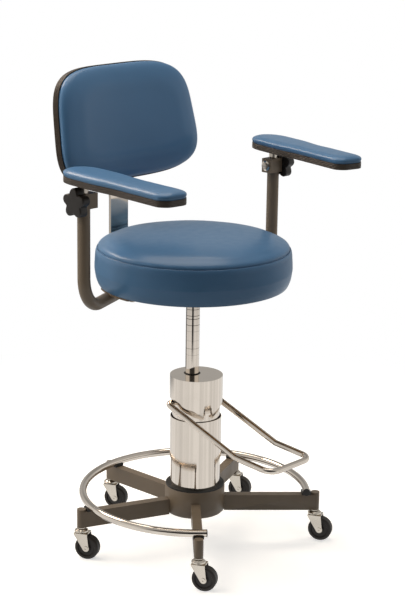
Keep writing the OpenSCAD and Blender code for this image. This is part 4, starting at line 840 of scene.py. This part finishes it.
class STOOL_OT_finishes(bpy.types.Operator):
    """Materials of the metal, rubber and wooden parts that keep their CAD shape"""

    bl_idname = "stool.finishes"
    bl_label = "Finishes"

    # Each finish and how the names of its nodes start
    worn = {
        "stool paint": ["base_hub", "leg_", "arm_tube_", "arm_block_", "rest_plate_",
                        "seat_hub", "back_channel", "back_bracket"],
        "stool rod plate": ["piston_rod"],
        "stool chrome": ["foot_ring", "pump_body", "column_cover", "column_cap", "pump_lever",
                         "arm_pin_", "back_bar", "block_screws", "filler_plug"],
        "stool caster plate": ["caster_fork_", "caster_stems", "ring_screws", "pump_bolt",
                               "board_screws", "rest_screws_", "back_screws"],
        "stool rubber": ["hub_gasket", "ring_caps", "ring_saddles", "rod_seal", "back_board"],
        "stool tyre": ["caster_wheel_"],
        "stool plywood": ["seat_board"],
    }

    # Nodes whose sharp edges are rounded a little
    rounded = ("base_hub", "leg_", "arm_block_", "rest_plate_")

    def execute(self, context):
        made = finishes()
        for name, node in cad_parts.items():
            finish = [m for m, starts in self.worn.items() if name.startswith(tuple(starts))]
            if finish:
                node.data.materials.clear()
                node.data.materials.append(made[finish[0]])
            if name.startswith(self.rounded):
                join = node.modifiers.new("join", "WELD")
                join.merge_threshold = 1e-5
                round_over = node.modifiers.new("round over", "BEVEL")
                round_over.width, round_over.segments = 0.8 * MM, 2
                round_over.limit_method, round_over.angle_limit = "ANGLE", math.radians(50)
                round_over.use_clamp_overlap = True
        return {"FINISHED"}


class STOOL_OT_studio(bpy.types.Operator):
    """Pale floor, soft lamps, white surroundings and the camera"""

    bl_idname = "stool.studio"
    bl_label = "Studio"

    def camera(self, scene):
        """The photograph's camera, 3.4 m from the column and 1.45 m up, looking down a
        little."""
        turn, down, roll = (math.radians(v) for v in CAMERA_TURNS)
        ahead = Vector((-math.sin(turn) * math.cos(down), math.cos(turn) * math.cos(down),
                        -math.sin(down)))
        right = Vector((math.cos(turn), math.sin(turn), 0))
        up = right.cross(ahead)
        right, up = (right * math.cos(roll) + up * math.sin(roll),
                     up * math.cos(roll) - right * math.sin(roll))
        data = bpy.data.cameras.new("view")
        data.sensor_fit = "VERTICAL"
        data.sensor_height = SENSOR_HEIGHT
        data.lens = FOCAL_PIXELS * SENSOR_HEIGHT / PICTURE_HEIGHT
        made = bpy.data.objects.new("view", data)
        axes = Matrix((right, up, -ahead)).transposed()
        made.matrix_world = Matrix.Translation(CAMERA_AT) @ axes.to_4x4()
        scene.collection.objects.link(made)
        scene.camera = made

    def lamp(self, scene, name, at, size, power, tint, gloss=True, matt=True):
        """One soft box that faces the object and lights its gloss, its matt colour or both."""
        data = bpy.data.lights.new(name, "AREA")
        data.shape = "RECTANGLE"
        data.size, data.size_y = size
        data.energy = power
        data.color = linear(tint)[:3]
        made = bpy.data.objects.new(name, data)
        made.location = at
        made.visible_glossy, made.visible_diffuse = gloss, matt
        aim = Vector((0, 0, 0.6)) - Vector(at)
        made.rotation_euler = aim.to_track_quat("-Z", "Y").to_euler()
        scene.collection.objects.link(made)

    def eased(self, tree, value, start, end, low, high):
        """A number that goes smoothly from low to high as a value goes from start to end."""
        return put(tree, "ShaderNodeMapRange", {"interpolation_type": "SMOOTHSTEP", 1: start,
                                                2: end, 3: low, 4: high}, {0: value}).outputs[0]

    def product(self, tree, one, other):
        """Product of two numbers."""
        return put(tree, "ShaderNodeMath", {"operation": "MULTIPLY"},
                   {0: one, 1: other}).outputs[0]

    def seen_by(self, tree, matt, gloss, eye):
        """One shader for matt surfaces, another for glossy ones and a third for the eye."""
        path = put(tree, "ShaderNodeLightPath").outputs
        shiny = put(tree, "ShaderNodeMixShader", links={
            0: path["Is Glossy Ray"], 1: matt.outputs[0], 2: gloss.outputs[0]})
        return put(tree, "ShaderNodeMixShader", links={
            0: path["Is Camera Ray"], 1: shiny.outputs[0], 2: eye.outputs[0]}).outputs[0]

    def toward(self, tree, way, degrees):
        """Cosine between a level direction, given by its angle from +X, and another one."""
        turn = math.radians(degrees)
        return put(tree, "ShaderNodeVectorMath",
                   {"operation": "DOT_PRODUCT", 1: (math.cos(turn), math.sin(turn), 0)},
                   {0: way}).outputs["Value"]

    def execute(self, context):
        scene = context.scene
        self.camera(scene)
        self.room(scene)
        warm = "#fff4e6"
        self.lamp(scene, "overhead", (0.2, 0.5, 2.6), (1.7, 1.7), 25, warm)
        self.lamp(scene, "behind", (-0.1, 2.1, 2.4), (0.7, 0.7), 14, warm, gloss=False)
        self.lamp(scene, "glint", (-0.15, 2.1, 2.35), (1.2, 0.8), 30, "#ffe8d2", matt=False)
        self.lamp(scene, "high_left", (-1.5, 0.65, 2.1), (1.2, 1.2), 14, warm, gloss=False)
        self.lamp(scene, "left", (-1.3, 1.6, 1.1), (0.8, 1.5), 17, warm, gloss=False)
        self.lamp(scene, "right", (2.1, -0.75, 1.0), (0.8, 1.5), 16, warm, gloss=False)
        self.floor(scene)
        scene.view_settings.view_transform = "Standard"
        return {"FINISHED"}

    def room(self, scene):
        """Surroundings: white to the eye, an even dim fill for matt surfaces, and for gloss a
        room that is pale at both sides, greyer behind the object and dark where the
        photographer stands."""
        world = bpy.data.worlds.new("studio")
        scene.world = world
        world.use_nodes = True
        tree = world.node_tree
        tree.nodes.clear()
        way = put(tree, "ShaderNodeTexCoord").outputs["Generated"]
        front = self.toward(tree, way, FRONT_ANGLE)
        pale = self.product(tree, self.eased(tree, front, -0.98, -0.3, 0.47, 0.85),
                            self.eased(tree, front, 0.5, 0.85, 1.0, 0.06))
        height = put(tree, "ShaderNodeSeparateXYZ", links={0: way}).outputs[2]
        pale = self.product(tree, pale, self.eased(tree, height, 0.3, 0.45, 1.0, 0.6))
        fill = put(tree, "ShaderNodeBackground", {"Color": (1, 0.985, 0.96, 1), "Strength": 0.235})
        gloss = put(tree, "ShaderNodeBackground", {"Color": (1, 0.99, 0.97, 1)},
                    {"Strength": pale})
        white = put(tree, "ShaderNodeBackground", {"Color": (1, 1, 1, 1), "Strength": 1.0})
        put(tree, "ShaderNodeOutputWorld",
            links={"Surface": self.seen_by(tree, fill, gloss, white)})

    def floor(self, scene):
        """Square floor 8 m wide. To the eye it is white apart from the object's soft shadow and
        fades to pure white within 1.4 m. Gloss sees a pale sheet that dims with distance, with
        faint streaks, and that is dark far off behind the object and toward the front, which
        draws the dark edges and lines of the bright plate."""
        mesh = bpy.data.meshes.new("floor")
        mesh.from_pydata([(-4, -4, 0), (4, -4, 0), (4, 4, 0), (-4, 4, 0)], [], [(0, 1, 2, 3)])
        made = bpy.data.objects.new("floor", mesh)
        scene.collection.objects.link(made)
        paper = bpy.data.materials.new("floor paper")
        paper.use_nodes = True
        tree = paper.node_tree
        tree.nodes.clear()
        place = put(tree, "ShaderNodeTexCoord").outputs["Object"]
        reach = put(tree, "ShaderNodeVectorMath", {"operation": "LENGTH"},
                    {0: place}).outputs["Value"]
        way = put(tree, "ShaderNodeVectorMath", {"operation": "NORMALIZE"},
                  {0: place}).outputs["Vector"]
        matt = put(tree, "ShaderNodeBsdfDiffuse", {"Color": linear("#f2f1ee")})
        dull = put(tree, "ShaderNodeBsdfDiffuse", {"Color": linear("#a5a29c")})
        glow = put(tree, "ShaderNodeEmission", {"Color": (1, 1, 1, 1), "Strength": 0.55})
        lit = put(tree, "ShaderNodeAddShader", links={0: matt.outputs[0], 1: glow.outputs[0]})
        white = put(tree, "ShaderNodeEmission", {"Color": (1, 1, 1, 1), "Strength": 1.0})
        eye = put(tree, "ShaderNodeMixShader", links={
            0: self.eased(tree, reach, 0.7, 1.4, 0, 1), 1: lit.outputs[0], 2: white.outputs[0]})
        pale = self.eased(tree, reach, 1.4, 2.4, 0.92, 0.5)
        behind = self.eased(tree, self.toward(tree, way, 72), 0.62, 0.96, 0, 0.75)
        edge = self.eased(tree, self.toward(tree, way, FRONT_ANGLE + 180), 0.93, 0.99, 0, 0.8)
        front = self.eased(tree, self.toward(tree, way, FRONT_ANGLE), 0.95, 0.985, 0, 0.95)
        for dark, start, end in ((behind, 0.95, 1.3), (edge, 0.2, 0.5), (front, 1.2, 1.5)):
            dark = self.product(tree, dark, self.eased(tree, reach, start, end, 0, 1))
            left = put(tree, "ShaderNodeMath", {"operation": "SUBTRACT", 0: 1.0}, {1: dark})
            pale = self.product(tree, pale, left.outputs[0])
        streak = put(tree, "ShaderNodeTexNoise", {"Scale": 4.0, "Detail": 1.0}, {"Vector": way})
        streaks = self.eased(tree, streak.outputs[0], 0.35, 0.65, 0.86, 1.06)
        pale = self.product(tree, pale, streaks)
        far = put(tree, "ShaderNodeEmission", {"Color": (1, 1, 1, 1)}, {"Strength": pale})
        put(tree, "ShaderNodeOutputMaterial",
            links={"Surface": self.seen_by(tree, dull, far, eye)})
        mesh.materials.append(paper)


class STOOL_PT_panel(bpy.types.Panel):
    """Lists the stool's pieces and their settings"""

    bl_idname = "STOOL_PT_panel"
    bl_label = "Pump stool"
    bl_space_type = "VIEW_3D"
    bl_region_type = "UI"
    bl_category = "Stool"

    def draw(self, context):
        for group in (context.scene.stool_upholstery, context.scene.stool_colours):
            for name in group.__annotations__:
                self.layout.prop(group, name)
        for step in STEPS:
            self.layout.operator(step.bl_idname)


STEPS = (STOOL_OT_finishes, STOOL_OT_seat, STOOL_OT_backrest, STOOL_OT_arm_pads,
         STOOL_OT_knobs, STOOL_OT_studio)
CLASSES = (StoolUpholstery, StoolColours, *STEPS, STOOL_PT_panel)


def register():
    for made in CLASSES:
        bpy.utils.register_class(made)
    bpy.types.Scene.stool_upholstery = bpy.props.PointerProperty(type=StoolUpholstery)
    bpy.types.Scene.stool_colours = bpy.props.PointerProperty(type=StoolColours)


def unregister():
    del bpy.types.Scene.stool_colours
    del bpy.types.Scene.stool_upholstery
    for made in reversed(CLASSES):
        bpy.utils.unregister_class(made)


def main():
    """Runs each step in order."""
    register()
    bpy.ops.stool.finishes()
    bpy.ops.stool.seat()
    bpy.ops.stool.backrest()
    bpy.ops.stool.arm_pads()
    bpy.ops.stool.knobs()
    bpy.ops.stool.studio()


if __name__ == "__main__":
    main()
